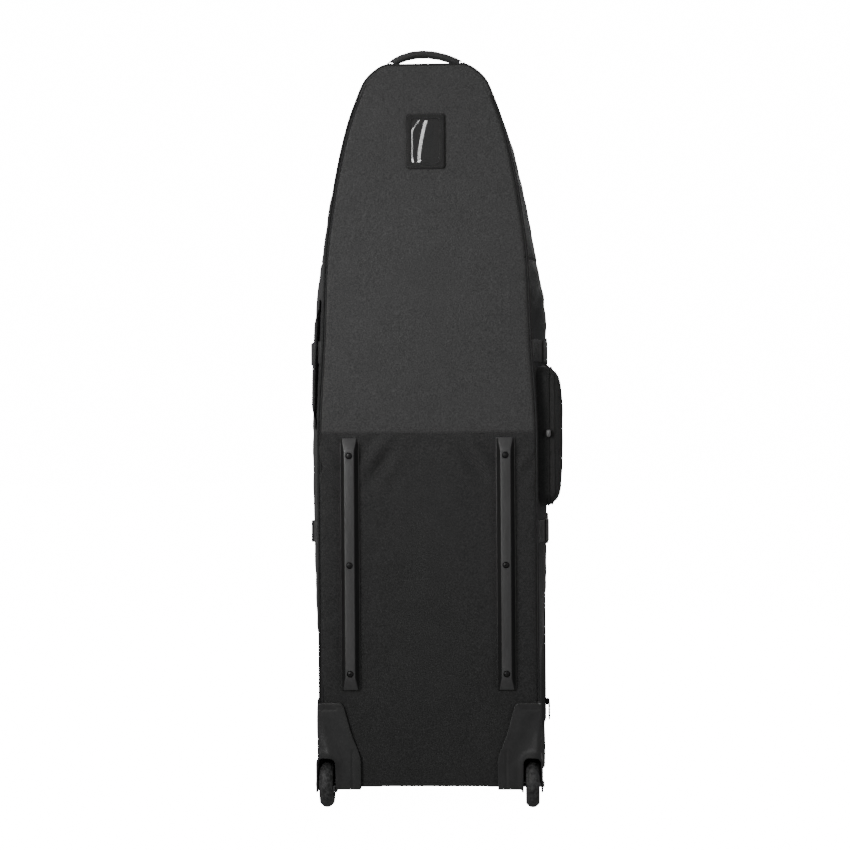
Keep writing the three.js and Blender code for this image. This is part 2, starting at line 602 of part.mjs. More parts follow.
// ---------------------------------------------------------------- handles
// The top handle is a padded arch that tilts about two loops on the crown.
function topHandle() {
  const { y, span, rise, axis, thickness, pin } = TOP_HANDLE;
  const stations = spread(-1, 1, 12);
  const points = stations.map((t) => new THREE.Vector3(span * t, y, axis + rise * (1 - t * t)));
  const width = (t) => 9 + 17 * (1 - t * t) ** 0.8;
  const arch = swept(points, new THREE.Vector3(0, 1, 0), (i) => {
    const taper = 1 - 0.3 * Math.abs(stations[i]) ** 6;
    return pad(thickness * taper, width(stations[i]));
  });
  const pins = [1, -1].map((side) =>
    rod([side * (span + 1), y, axis], [side * (span - 11), y, axis], pin, 12),
  );
  const room = [1, -1].map((side) => {
    const [a, b] = [span - 10.5, span - 3.5].map((x) => side * x);
    return block([Math.min(a, b), y - 20, axis - 12], [Math.max(a, b), y + 20, axis + 9]);
  });
  add("top_handle", join(cut(arch, ...room), ...pins), "webbing");
  for (const side of [1, -1]) {
    const [a, b] = [span - 10, span - 4].map((x) => side * x);
    const foot = block([Math.min(a, b), y - 6.6, TOP + GAP], [Math.max(a, b), y + 6.6, axis]);
    const loop = join(foot, rod([a, y, axis], [b, y, axis], 6.6, 16));
    const hole = rod([side * 40, y, axis], [side * 90, y, axis], pin + 0.4, 12);
    add(`top_handle_loop_${side > 0 ? "right" : "left"}`, cut(loop, hole), "webbing");
  }
}

// The side handle is a padded strap that lies along the left side and lifts off it.
function sideHandle() {
  const { y, bottom, top, off, thickness, width, bow } = SIDE_HANDLE;
  const stations = spread(0, 1, 10);
  const points = stations.map((t) => {
    const z = THREE.MathUtils.lerp(bottom, top, t);
    const v = (y - backY(z)) / (zipY(z) - backY(z));
    return new THREE.Vector3(-gusset(z, v, off)[0] - bow * Math.sin(Math.PI * t) ** 2, y, z);
  });
  const flat = (z) => gusset(z, y / zipY(z) + 0.05, 0)[0] - gusset(z, y / zipY(z) - 0.05, 0)[0];
  const middle = (bottom + top) / 2;
  const across = new THREE.Vector3(-flat(middle), 0.1 * zipY(middle), 0).normalize();
  const grip = swept(points, across, (i) => {
    const ease = THREE.MathUtils.smoothstep(Math.min(i, stations.length - 1 - i), 0, 2);
    return pad(THREE.MathUtils.lerp(3, thickness, ease), THREE.MathUtils.lerp(22, width, ease));
  });
  add("side_handle", grip, "webbing");
}

// ---------------------------------------------------------------- the bag
backPanels();
gussetsAndCrown();
frontPanels();
base();
pipingAndZip();
mainSliders();
sidePocket();
frontPocket();
sideStraps();
innerStrap();
wheels();
housings();
rails();
feet();
idHolder();
topHandle();
sideHandle();
bag.position.set(-CENTRE.x, -CENTRE.y, 0);

export default bag;
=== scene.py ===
import json
import math

import bmesh
import bpy
import numpy as np
from mathutils import Matrix, Vector, noise

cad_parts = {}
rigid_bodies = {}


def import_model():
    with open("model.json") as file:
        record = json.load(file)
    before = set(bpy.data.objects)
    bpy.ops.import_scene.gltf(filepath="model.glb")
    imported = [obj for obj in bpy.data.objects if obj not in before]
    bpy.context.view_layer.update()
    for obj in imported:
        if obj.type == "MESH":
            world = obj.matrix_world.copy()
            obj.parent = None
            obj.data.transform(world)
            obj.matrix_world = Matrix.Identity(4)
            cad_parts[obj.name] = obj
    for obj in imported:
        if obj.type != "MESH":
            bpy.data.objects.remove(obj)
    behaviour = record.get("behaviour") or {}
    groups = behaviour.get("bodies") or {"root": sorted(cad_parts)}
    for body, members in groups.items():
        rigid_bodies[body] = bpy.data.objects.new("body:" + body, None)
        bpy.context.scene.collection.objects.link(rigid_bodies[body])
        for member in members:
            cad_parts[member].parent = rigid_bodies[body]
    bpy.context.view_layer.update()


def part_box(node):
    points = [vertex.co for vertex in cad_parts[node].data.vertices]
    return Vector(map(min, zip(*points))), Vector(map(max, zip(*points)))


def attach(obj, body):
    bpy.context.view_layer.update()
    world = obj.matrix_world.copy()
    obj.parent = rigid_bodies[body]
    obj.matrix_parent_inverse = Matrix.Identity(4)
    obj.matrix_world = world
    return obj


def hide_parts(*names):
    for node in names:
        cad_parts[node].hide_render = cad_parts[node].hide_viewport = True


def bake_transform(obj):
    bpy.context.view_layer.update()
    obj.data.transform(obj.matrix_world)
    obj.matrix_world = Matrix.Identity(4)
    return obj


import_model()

# ---------------------------------------------------------------- the drawing frame
ORIGIN = np.array([
    (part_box("base_board")[0].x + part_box("base_board")[1].x) / 2,
    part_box("back_panel_lower")[0].y,
    0,
])


def row(points):
    """Drawn millimetres to metres in the row frame."""
    return np.asarray(points, float) / 1000 + ORIGIN


def undrawn(points):
    """Metres in the row frame back to drawn millimetres."""
    return (np.array(points) - ORIGIN) * 1000


def drawn(node):
    """The lowest and highest corner of a CAD node, in drawn millimetres."""
    return [undrawn(corner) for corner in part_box(node)]


def centre(node):
    low, high = drawn(node)
    return (low + high) / 2


TOP = drawn("crown_panel")[1][2]
BASE = drawn("base_panel")[0][2]
SEAM_Z = (drawn("back_panel_lower")[1][2] + drawn("back_panel_upper")[0][2]) / 2
HINGE_Z = (drawn("front_apron")[1][2] + drawn("lid_panel")[0][2]) / 2
ZIP_START = drawn("main_zip_tape_lid")[0][2]
HOUSING_TOP = drawn("wheel_housing_right")[1][2]
CLOTH = 4.5  # thickness of the padded cloth that shows
SIDES = ((1, "right"), (-1, "left"))


# ---------------------------------------------------------------- the skin, as in the CAD source
def profile(points):
    """A value against height, through (height, value) points, that never overshoots between them."""
    height, value = (np.array(column, float) for column in zip(*points))
    rise = np.diff(value) / np.diff(height)
    before, after = rise[:-1], rise[1:]
    same_way = before * after > 0
    inner = np.where(same_way, 2 * before * after / np.where(same_way, before + after, 1), 0)
    slope = np.concatenate([rise[:1], inner, rise[-1:]])

    def at(z):
        z = np.clip(z, height[0], height[-1])
        i = np.clip(np.searchsorted(height, z, side="right") - 1, 0, len(rise) - 1)
        span = height[i + 1] - height[i]
        t = (z - height[i]) / span
        ends = value[i] * (2 * t**3 - 3 * t**2 + 1) + value[i + 1] * (3 * t**2 - 2 * t**3)
        return ends + span * (slope[i] * (t**3 - 2 * t**2 + t) + slope[i + 1] * (t**3 - t**2))

    return at


def smooth(value, low, high):
    """0 up to low, 1 from high, and an even ease between them."""
    t = np.clip((np.asarray(value, float) - low) / (high - low), 0, 1)
    return t * t * (3 - 2 * t)


def hump(value, middle, width):
    """1 at the middle, falling to nothing a few widths away."""
    return np.exp(-(((np.asarray(value, float) - middle) / width) ** 2))


seam_half = profile([
    (38, 187), (640, 187), (811, 178), (950, 172.5), (1053, 160), (1123, 147.5),
    (1192, 130.5), (1227, 118), (1261, 104), (1274, 93), (TOP, 73),
])
zip_half = profile([
    (38, 202), (811, 202), (880, 198), (950, 189.5), (1053, 171.5), (1123, 157),
    (1192, 138), (1227, 123.5), (1261, 107), (1274, 95.5), (TOP, 75),
])
bulge = profile([
    (190, 0), (362, 4), (465, 7), (768, 8), (880, 7),
    (950, 4), (1053, 3), (1192, 1.7), (1227, 0), (TOP, 0),
])
zip_y = profile([(38, 190), (880, 190), (1000, 180), (1120, 160), (1200, 143), (TOP, 132)])
lid_depth = profile([
    (38, 66), (200, 66), (811, 78), (950, 80), (1053, 76),
    (1123, 68), (1192, 55), (1240, 42), (1274, 26), (TOP, 14),
])


def back_y(z):
    """How far the back leans forward above the rails."""
    return 22 * np.maximum(0, (np.asarray(z, float) - 900) / (TOP - 900)) ** 2


def swell(z, v):
    """How a gusset widens from the seam to the zip: early above the housings and late beside them."""
    free = smooth(z, 190, 380)
    return (1 - free) * v**4 + free * (1 - (1 - np.minimum(v, 1)) ** 2.2)


STRAPS = [[drawn(f"strap_right_{level}")[i][2] for i in (0, 1)] for level in ("lower", "upper")]


def under_straps(z):
    """1 away from the side straps and 0 under them, where they pull the gusset in."""
    free = np.ones_like(np.asarray(z, float))
    for low, high in STRAPS:
        free = free * (1 - hump(z, (low + high) / 2, 36))
    return free


def gusset(z, v, out=0.0, side=1):
    """Points of the gusset on one side, from the back seam (v = 0) to the zip (v = 1)."""
    z, v = np.broadcast_arrays(np.asarray(z, float), np.asarray(v, float))
    x = seam_half(z) + (zip_half(z) - seam_half(z)) * swell(z, v)
    x = x + bulge(z) * np.sin(np.pi * v) ** 2 + out
    y = back_y(z) - out + (zip_y(z) - back_y(z) + out) * v
    return np.stack([side * x, y, z], -1)


def lid(z, angle, out=0.0):
    """Points of the front, from the right-hand zip (angle 0) round to the left-hand one (pi)."""
    z, angle = np.broadcast_arrays(np.asarray(z, float), np.asarray(angle, float))
    across = np.sign(np.cos(angle)) * np.abs(np.cos(angle)) ** (2 / 3)
    ahead = np.abs(np.sin(angle)) ** (2 / 3)
    x = (zip_half(z) + out) * across
    return np.stack([x, zip_y(z) + (lid_depth(z) + out) * ahead, z], -1)


def lid_y(x, z):
    """How far forward the front stands at a place."""
    return zip_y(z) + lid_depth(z) * (1 - np.abs(x / zip_half(z)) ** 3) ** (1 / 3)


def rough(points, size, seed=0.0):
    """Smooth noise from -1 to 1 at each drawn point, with lumps about `size` across."""
    flat = np.asarray(points, float).reshape(-1, 3) / size + seed
    return np.array([noise.noise(Vector(p)) for p in flat]).reshape(np.shape(points)[:-1])


def spaced(low, high, step, extra=()):
    """Values from low to high about `step` apart, with the extra ones among them."""
    even = np.linspace(low, high, max(2, round((high - low) / step) + 1))
    kept = [v for v in even if all(abs(v - e) > step / 3 for e in extra)] + list(extra)
    return np.array(sorted(kept))


def crowded(count, pull):
    """Values from -1 to 1 that crowd towards both ends, the more so the greater the pull."""
    even = np.linspace(-1, 1, count)
    return even * (1 - pull) + np.sin(even * math.pi / 2) * pull


# ---------------------------------------------------------------- meshes
def placed(thing, body, replaces=()):
    """Sets a piece on its body, with the CAD nodes it stands for."""
    if body is not None:
        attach(thing, body)
    if replaces:
        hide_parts(*replaces)
    return thing


def piece(name, points, faces, material, body, replaces=(), slot=None, inside=None, sharp=40):
    """An object of drawn points and faces that rides on a body, or on none yet if body is None."""
    mesh = bpy.data.meshes.new(name)
    mesh.from_pydata(row(np.asarray(points).reshape(-1, 3)).tolist(), [], [list(f) for f in faces])
    mesh.materials.append(material)
    if inside is not None:
        mesh.materials.append(inside)
    mesh.shade_smooth()
    mesh.set_sharp_from_angle(angle=math.radians(sharp))
    thing = bpy.data.objects.new(name, mesh)
    bpy.context.scene.collection.objects.link(thing)
    return placed(thing, body, replaces)


def quads(rows, columns, across=False, along=False):
    """The faces of a grid of points, closed across the columns or along the rows if asked."""
    last_row, last_column = rows - (not along), columns - (not across)
    for i in range(last_row):
        for j in range(last_column):
            a, b = i * columns + j, i * columns + (j + 1) % columns
            c, d = (b + columns) % (rows * columns), (a + columns) % (rows * columns)
            yield a, b, c, d


def modify(thing, kind, **settings):
    modifier = thing.modifiers.new(kind.lower(), kind)
    for key, value in settings.items():
        setattr(modifier, key, value)
    return modifier


def thicken(thing, thickness):
    """Gives a sheet its thickness, inwards."""
    lined = int(len(thing.data.materials) > 1)
    modify(thing, "SOLIDIFY", thickness=thickness / 1000, offset=-1, material_offset=lined)
    return thing


def unit(vectors):
    return vectors / np.linalg.norm(vectors, axis=1, keepdims=True)


def distances(path):
    """How far along a path each of its points lies."""
    return np.concatenate([[0], np.cumsum(np.linalg.norm(np.diff(path, axis=0), axis=1))])


def sampled(at, run, values):
    """Rows of values known at the distances `run`, read off at the distances `at`."""
    return np.stack([np.interp(at, run, column) for column in np.transpose(values)], -1)


def looped(path):
    return np.concatenate([path, path[:1]])


def frames(path, out):
    """At each point of a path, a direction across it and one near `out`, both square to the path."""
    path = np.asarray(path, float)
    along = unit(np.gradient(path, axis=0))
    across = unit(np.cross(along, np.broadcast_to(np.asarray(out, float), path.shape)))
    return across, np.cross(across, along)


def swept_points(path, section, out, scale=None):
    """Rings of section points ([across, out] pairs) along a path. `scale` gives each ring's size."""
    path, section = np.asarray(path, float), np.asarray(section, float)
    across, up = frames(path, out)
    scale = np.ones((len(path), 2)) if scale is None else np.asarray(scale, float)
    sized = section[None] * scale[:, None]
    return path[:, None] + sized[..., :1] * across[:, None] + sized[..., 1:] * up[:, None]


def ringed(name, rings, material, body, closed=False, **rest):
    """A solid through rings of equally many points, filled at both ends or closed on itself."""
    rings = np.asarray(rings, float)
    count = rings.shape[1]
    faces = list(quads(len(rings), count, across=True, along=closed))
    if not closed:
        last = (len(rings) - 1) * count
        faces += [list(range(count))[::-1], list(range(last, last + count))]
    return outward(piece(name, rings, faces, material, body, **rest))


def swept(name, path, section, out, material, body, scale=None, closed=False, **rest):
    """A solid strip or tube along a path."""
    return ringed(name, swept_points(path, section, out, scale), material, body, closed, **rest)


def move_points(thing, points):
    """Sets a mesh's points, in metres."""
    thing.data.vertices.foreach_set("co", points.astype(np.float32).ravel())
    thing.data.update()


def outward(thing):
    """Turns the faces of a closed mesh to face out."""
    bm = bmesh.new()
    bm.from_mesh(thing.data)
    bmesh.ops.recalc_face_normals(bm, faces=bm.faces)
    if bm.calc_volume(signed=True) < 0:
        bmesh.ops.reverse_faces(bm, faces=bm.faces)
    bm.to_mesh(thing.data)
    bm.free()
    return thing


def rounded(width, height, radius, steps=5, middle=(0, 0)):
    """A rounded rectangle's outline, anticlockwise from the lower right corner."""
    w, h = width / 2 - radius, height / 2 - radius
    corners = [(w, -h, -90), (w, h, 0), (-w, h, 90), (-w, -h, 180)]
    turns = np.linspace(0, 90, steps + 1)
    return np.array([
        (middle[0] + a + radius * math.cos(math.radians(start + turn)),
         middle[1] + b + radius * math.sin(math.radians(start + turn)))
        for a, b, start in corners
        for turn in turns
    ])


def circle(radius, steps=12):
    turns = np.arange(steps) * 2 * math.pi / steps
    return radius * np.stack([np.cos(turns), np.sin(turns)], -1)


def rounded_corners(points, radius, steps=5):
    """An outline with each corner given an arc of about that radius."""
    made = []
    count = len(points)
    for i, corner in enumerate(np.asarray(points, float)):
        before, after = (np.asarray(points[(i + d) % count], float) - corner for d in (-1, 1))
        reach = min(radius, 0.48 * np.linalg.norm(before), 0.48 * np.linalg.norm(after))
        a, b = (corner + reach * d / np.linalg.norm(d) for d in (before, after))
        for t in np.linspace(0, 1, steps + 1):
            made.append((1 - t) ** 2 * a + 2 * t * (1 - t) * corner + t * t * b)
    return np.array(made)


def facing_x(outline, depth):
    """An outline of (y, z) points, set at one x."""
    return np.insert(np.asarray(outline, float), 0, depth, axis=1)


def facing_y(outline, depth):
    """An outline of (x, z) points, set at one y."""
    return np.insert(np.asarray(outline, float), 1, depth, axis=1)


def facing_z(outline, depth):
    """An outline of (x, y) points, set at one z."""
    return np.insert(np.asarray(outline, float), 2, depth, axis=1)


def plate(name, outline, near, far, face, bevel):
    """A moulded plate: an outline extruded from near to far, with rounded edges and no body yet."""
    thing = ringed(name, [face(outline, near), face(outline, far)], moulded, None)
    modify(
        thing, "BEVEL", width=bevel / 1000, segments=3, limit_method="ANGLE",
        angle_limit=math.radians(35), harden_normals=True,
    )
    return settled(thing)


def lathe(name, outline, middle, material, body, steps=64, axis="x", **rest):
    """A ring about an X or Y axis through `middle`, from a closed outline of (radius, along) points."""
    turns = np.arange(steps)[:, None] * 2 * math.pi / steps
    radius, along = np.asarray(outline, float).T
    a, b = radius * np.cos(turns), radius * np.sin(turns)
    along = np.broadcast_to(along, a.shape)
    points = np.stack([along, a, b] if axis == "x" else [a, along, b], -1)
    return ringed(name, points + middle, material, body, closed=True, **rest)


def joined(name, things):
    """One piece made of several, under the given name: the first one's object, on its body, takes all their
    meshes with their modifiers applied.
    """
    bm = bmesh.new()
    for thing in things:
        bm.from_mesh(evaluated(thing))
    first = things[0]
    first.modifiers.clear()
    bm.to_mesh(first.data)
    bm.free()
    for thing in things[1:]:
        bpy.data.objects.remove(thing)
    first.name = first.data.name = name
    first.data.shade_smooth()
    first.data.set_sharp_from_angle(angle=math.radians(40))
    return first


def evaluated(thing):
    """A copy of the mesh with its modifiers applied."""
    bpy.context.view_layer.update()
    graph = bpy.context.evaluated_depsgraph_get()
    return bpy.data.meshes.new_from_object(thing.evaluated_get(graph))


def settled(thing):
    """Applies the piece's modifiers to its mesh."""
    mesh = evaluated(thing)
    thing.modifiers.clear()
    thing.data = mesh
    return thing


def carve(thing, cutters):
    """Cuts the cutters out of a piece and removes them."""
    for cutter in cutters:
        modify(thing, "BOOLEAN", operation="DIFFERENCE", solver="EXACT", use_self=True, object=cutter)
    settled(thing)
    for cutter in cutters:
        bpy.data.objects.remove(cutter)
    thing.data.shade_smooth()
    thing.data.set_sharp_from_angle(angle=math.radians(35))
    return thing


def remeshed(thing):
    """Turns overlapping solids into one moulded form with softly rounded edges."""
    material = thing.data.materials[0]
    modify(thing, "REMESH", mode="VOXEL", voxel_size=0.00115, use_smooth_shade=True)
    modify(thing, "SMOOTH", factor=0.5, iterations=3)
    modify(thing, "DECIMATE", ratio=0.5)
    settled(thing)
    thing.data.materials.clear()
    thing.data.materials.append(material)
    thing.data.shade_smooth()
    return thing


def stitches(name, paths, out, body, pitch=4.2, length=2.9, radius=0.33):
    """Rows of thread stitches along paths of drawn points, which lie on a face that looks `out`."""
    points, faces = [], []
    sides, count = 6, 5
    section = circle(radius, sides)
    for path, normal in zip(paths, out):
        path = np.asarray(path, float)
        run = distances(path)
        normals = np.broadcast_to(np.asarray(normal, float), path.shape)
        for start in np.arange(pitch / 2, run[-1] - length, pitch):
            at = start + length * np.array([0, 0.22, 0.5, 0.78, 1])
            up = unit(sampled(at, run, normals))
            lift = radius * np.array([-1.1, 0.35, 0.6, 0.35, -1.1])
            rings = swept_points(sampled(at, run, path) + up * lift[:, None], section, up)
            first = len(points) * sides * count
            last = first + sides * (count - 1)
            points.append(rings.reshape(-1, 3))
            faces += [tuple(first + k for k in face) for face in quads(count, sides, across=True)]
            faces += [tuple(range(first, first + sides))[::-1], tuple(range(last, last + sides))]
    return piece(name, np.concatenate(points), faces, thread, body)


# ---------------------------------------------------------------- materials
class Look:
    """A node material. add() makes a node: plain names are its settings or sockets, _0 a numbered one."""

    def __init__(self, name):
        self.material = bpy.data.materials.new(name)
        self.material.use_nodes = True
        self.tree = self.material.node_tree
        self.shader = self.tree.nodes["Principled BSDF"]
        self.place = self.add("TexCoord").outputs["Object"]

    def add(self, kind, **values):
        made = self.tree.nodes.new("ShaderNode" + kind)
        for key, value in values.items():
            if key.startswith("_"):
                self.put(made.inputs[int(key[1:])], value)
            elif key in made.inputs:
                self.put(made.inputs[key], value)
            else:
                setattr(made, key, value)
        return made

    def put(self, socket, value):
        if isinstance(value, bpy.types.NodeSocket):
            self.tree.links.new(value, socket)
        elif isinstance(value, bpy.types.Node):
            self.tree.links.new(value.outputs[0], socket)
        else:
            socket.default_value = value

    def maths(self, operation, *values, clamp=False):
        numbered = {f"_{i}": value for i, value in enumerate(values)}
        return self.add("Math", operation=operation, use_clamp=clamp, **numbered)

    def lumps(self, size, detail=2.0, stretch=(1, 1, 1), roughness=0.5):
        """Noise with lumps `size` millimetres across, drawn out along each axis by `stretch`."""
        scale = [1 / s for s in stretch]
        moved = self.add("Mapping", Vector=self.place, Scale=scale)
        return self.add("TexNoise", Vector=moved, Scale=1000 / size, Detail=detail, Roughness=roughness)

    def mix(self, share, a, b):
        made = self.add("Mix", data_type="RGBA")
        self.put(made.inputs[0], share)
        self.put(made.inputs[6], a)
        self.put(made.inputs[7], b)
        return made.outputs[2]

    def ranged(self, value, low, high, to_low=0.0, to_high=1.0):
        return self.add(
            "MapRange",
            Value=value,
            **{"From Min": low, "From Max": high, "To Min": to_low, "To Max": to_high},
        )

    def finish(self, colour, roughness, bump=None, depth=0.3, **constants):
        self.put(self.shader.inputs["Base Color"], colour)
        self.put(self.shader.inputs["Roughness"], roughness)
        for key, value in constants.items():
            self.shader.inputs[key.replace("_", " ")].default_value = value
        if bump is not None:
            raised = self.add("Bump", Height=bump, Strength=1.0, Distance=depth / 1000)
            self.put(self.shader.inputs["Normal"], raised)
        return self.material


def grey(value, warm=0.0):
    return (value * (1 + warm), value, value * (1 - warm), 1)


def cloth_look(name, tone, thread_mm, contrast=0.35, fleck=0.0, sheen=0.1, roughness=0.82, depth=0.25):
    """Woven polyester: crossing threads, uneven dye and a dusting of wear."""
    look = Look(name)
    axes = look.add("SeparateXYZ", Vector=look.place)
    turn = math.pi * 1000 / thread_mm
    weft = look.maths("ADD", axes.outputs[0], axes.outputs[1])
    warp = look.maths("ADD", axes.outputs[2], look.maths("MULTIPLY", axes.outputs[1], 0.35))
    wave = [look.maths("SINE", look.maths("MULTIPLY", way, turn)) for way in (weft, warp)]
    weave = look.maths("MULTIPLY", *wave)
    uneven = look.lumps(thread_mm * 3.5, detail=3, stretch=(1, 1, 1.6))
    height = look.maths("ADD", look.maths("MULTIPLY", weave, 0.5), uneven)
    shade = look.ranged(weave, -1, 1, 1 - contrast / 2, 1 + contrast / 2)
    dye = look.ranged(look.lumps(130, detail=1), 0.3, 0.7, 0.96, 1.04)
    pile = look.ranged(look.lumps(2.1, detail=1), 0.3, 0.72, 1 - fleck, 1 + fleck)
    level = look.maths("MULTIPLY", look.maths("MULTIPLY", shade, dye), pile)
    colour = look.mix(look.maths("MULTIPLY", level, 0.5), grey(0), grey(2 * tone))
    rough = look.ranged(look.lumps(30), 0.3, 0.7, roughness - 0.05, roughness + 0.06)
    return look.finish(
        colour, rough, height, depth,
        Sheen_Weight=sheen, Sheen_Roughness=0.55, Specular_IOR_Level=0.3,
    )


def webbing_look(name, tone, along="z", roughness=0.7):
    """Ribbed strap webbing: ribs across it and fine threads along them."""
    look = Look(name)
    axes = look.add("SeparateXYZ", Vector=look.place)
    x, y, z = axes.outputs
    across = z if along == "y" else look.maths("ADD", x, y)
    run = look.maths("ADD", x, y) if along == "y" else z
    ribs = look.maths("SINE", look.maths("MULTIPLY", across, 2 * math.pi * 1000 / 2.4))
    threads = look.maths("SINE", look.maths("MULTIPLY", run, 2 * math.pi * 1000 / 1.3))
    weave = look.maths("ADD", look.maths("MULTIPLY", ribs, 0.7), look.maths("MULTIPLY", threads, 0.3))
    worn = look.ranged(look.lumps(18, detail=4), 0.35, 0.75, 0.85, 1.2)
    level = look.maths("MULTIPLY", look.ranged(weave, -1, 1, 0.75, 1.2), worn)
    colour = look.mix(look.maths("MULTIPLY", level, 0.5), grey(0), grey(2 * tone))
    height = look.maths("ADD", weave, look.maths("MULTIPLY", look.lumps(1.2), 0.4))
    return look.finish(colour, roughness, height, 0.1, Sheen_Weight=0.12, Specular_IOR_Level=0.35)


def moulded_look(name, tone, grain_mm=0.9, roughness=0.42, depth=0.12, wear=0.5, streak=(1, 1, 1)):
    """Moulded plastic or rubber: a fine leathery grain, paler worn edges, scuffs and dust."""
    look = Look(name)
    grain = look.lumps(grain_mm, detail=2)
    scuff = look.lumps(14, detail=5, stretch=streak, roughness=0.7)
    edge = look.ranged(look.add("NewGeometry").outputs["Pointiness"], 0.52, 0.6)
    rubbed = look.maths("MULTIPLY", look.maths("MULTIPLY", edge, wear), scuff, clamp=True)
    dusty = look.ranged(scuff, 0.4, 0.75, 0.9, 1.16)
    base = look.mix(look.maths("MULTIPLY", dusty, 0.5), grey(0), grey(2 * tone))
    colour = look.mix(rubbed, base, grey(tone * 3.2))
    rough = look.ranged(scuff, 0.3, 0.75, roughness - 0.07, roughness + 0.12)
    height = look.maths("ADD", grain, look.maths("MULTIPLY", scuff, 0.6))
    return look.finish(colour, rough, height, depth, Specular_IOR_Level=0.45)


def metal_look(name, tone, roughness=0.35, metallic=1.0):
    look = Look(name)
    scratches = look.lumps(3, detail=4, stretch=(1, 1, 7))
    tarnish = look.lumps(9, detail=3)
    level = look.ranged(tarnish, 0.3, 0.7, 0.4, 0.6)
    colour = look.mix(level, grey(0), grey(2 * tone))
    rough = look.ranged(scratches, 0.3, 0.7, roughness - 0.08, roughness + 0.12)
    return look.finish(colour, rough, scratches, 0.05, Metallic=metallic)


def tyre_look():
    """Grey polyurethane, mottled by the floors it has rolled over."""
    look = Look("tyre")
    mottle = look.lumps(5.5, detail=5, roughness=0.72)
    grit = look.lumps(1.4, detail=3)
    level = look.ranged(mottle, 0.4, 0.6, 0.0, 1.0)
    colour = look.mix(level, grey(0.01), grey(0.06))
    height = look.maths("ADD", look.maths("MULTIPLY", mottle, 1.3), grit)
    return look.finish(colour, look.ranged(mottle, 0.3, 0.7, 0.5, 0.72), height, 0.35)


def vinyl_look():
    """Clear vinyl sheet, with a faint haze."""
    look = Look("clear_vinyl")
    ripple = look.lumps(16, detail=2)
    haze = look.ranged(look.lumps(9, detail=3), 0.3, 0.7, 0.1, 0.2)
    return look.finish(
        grey(0.02), haze, ripple, 0.12,
        Alpha=0.62, IOR=1.5, Specular_IOR_Level=1.0, Coat_Weight=1.0, Coat_Roughness=0.08,
    )


def card_look():
    look = Look("card")
    fibre = look.lumps(2.2, detail=5)
    tone = look.ranged(fibre, 0.3, 0.7, 0.4, 0.6)
    return look.finish(look.mix(tone, grey(0), grey(0.3)), 0.75, fibre, 0.06)


light_cloth = cloth_look("light_cloth", 0.045, 0.9, fleck=0.32, depth=0.22)
heavy_cloth = cloth_look("heavy_cloth", 0.0235, 1.5, contrast=0.5, fleck=0.42, depth=0.5)
side_cloth = cloth_look("side_cloth", 0.019, 1.2, contrast=0.4, fleck=0.28, depth=0.3)
lining = cloth_look("lining", 0.05, 0.7, contrast=0.2, sheen=0.05, depth=0.1)
webbing = webbing_look("webbing", 0.022, along="y")
grip_webbing = webbing_look("grip_webbing", 0.032, along="z")
zip_tape = webbing_look("zip_tape", 0.012, along="z", roughness=0.8)
piping = moulded_look("piping", 0.011, grain_mm=1.2, roughness=0.78, wear=0.2)
board = moulded_look("board", 0.03, grain_mm=2.5, roughness=0.6, wear=0.2)
moulded = moulded_look("moulded", 0.024, roughness=0.5, wear=0.7)
scraped = {"grain_mm": 0.7, "roughness": 0.36, "streak": (1, 1, 9)}
rail_plastic = moulded_look("rail", 0.013, wear=0.3, **scraped)
# A paler copy of the rail plastic for the crest: painted light, for the light the crest catches while its
# slopes lie in shade.
rail_crest = moulded_look("rail_crest", 0.052, depth=0.16, wear=0.1, **scraped)
rubber = moulded_look("rubber", 0.016, grain_mm=1.6, roughness=0.62, depth=0.2, wear=0.3)
teeth_plastic = moulded_look("zip_teeth", 0.02, grain_mm=0.5, roughness=0.35, wear=0.4)
# A much paler copy of the moulded plastic for the inside of the wheel wells: painted light, standing for
# light that hardly reaches in there.
well_dust = moulded_look("well_dust", 0.15, roughness=0.9, wear=0.3)
core_plastic = moulded_look("wheel_core", 0.02, roughness=0.45)
frame_cloth = cloth_look("id_frame", 0.016, 1.3, contrast=0.5, fleck=0.2, depth=0.3, roughness=0.75)
rivet_metal = metal_look("rivet", 0.018, roughness=0.45, metallic=0.6)
steel = metal_look("bearing_steel", 0.5, roughness=0.28)
zip_metal = metal_look("zip_metal", 0.26, roughness=0.34)
black_metal = metal_look("black_metal", 0.03, roughness=0.42, metallic=0.7)
thread = webbing_look("thread", 0.03, along="z", roughness=0.6)
tyre = tyre_look()
vinyl = vinyl_look()
card = card_look()


# ---------------------------------------------------------------- camera, light and stage
PALE = 16  # strength of the white that the camera sees round the case


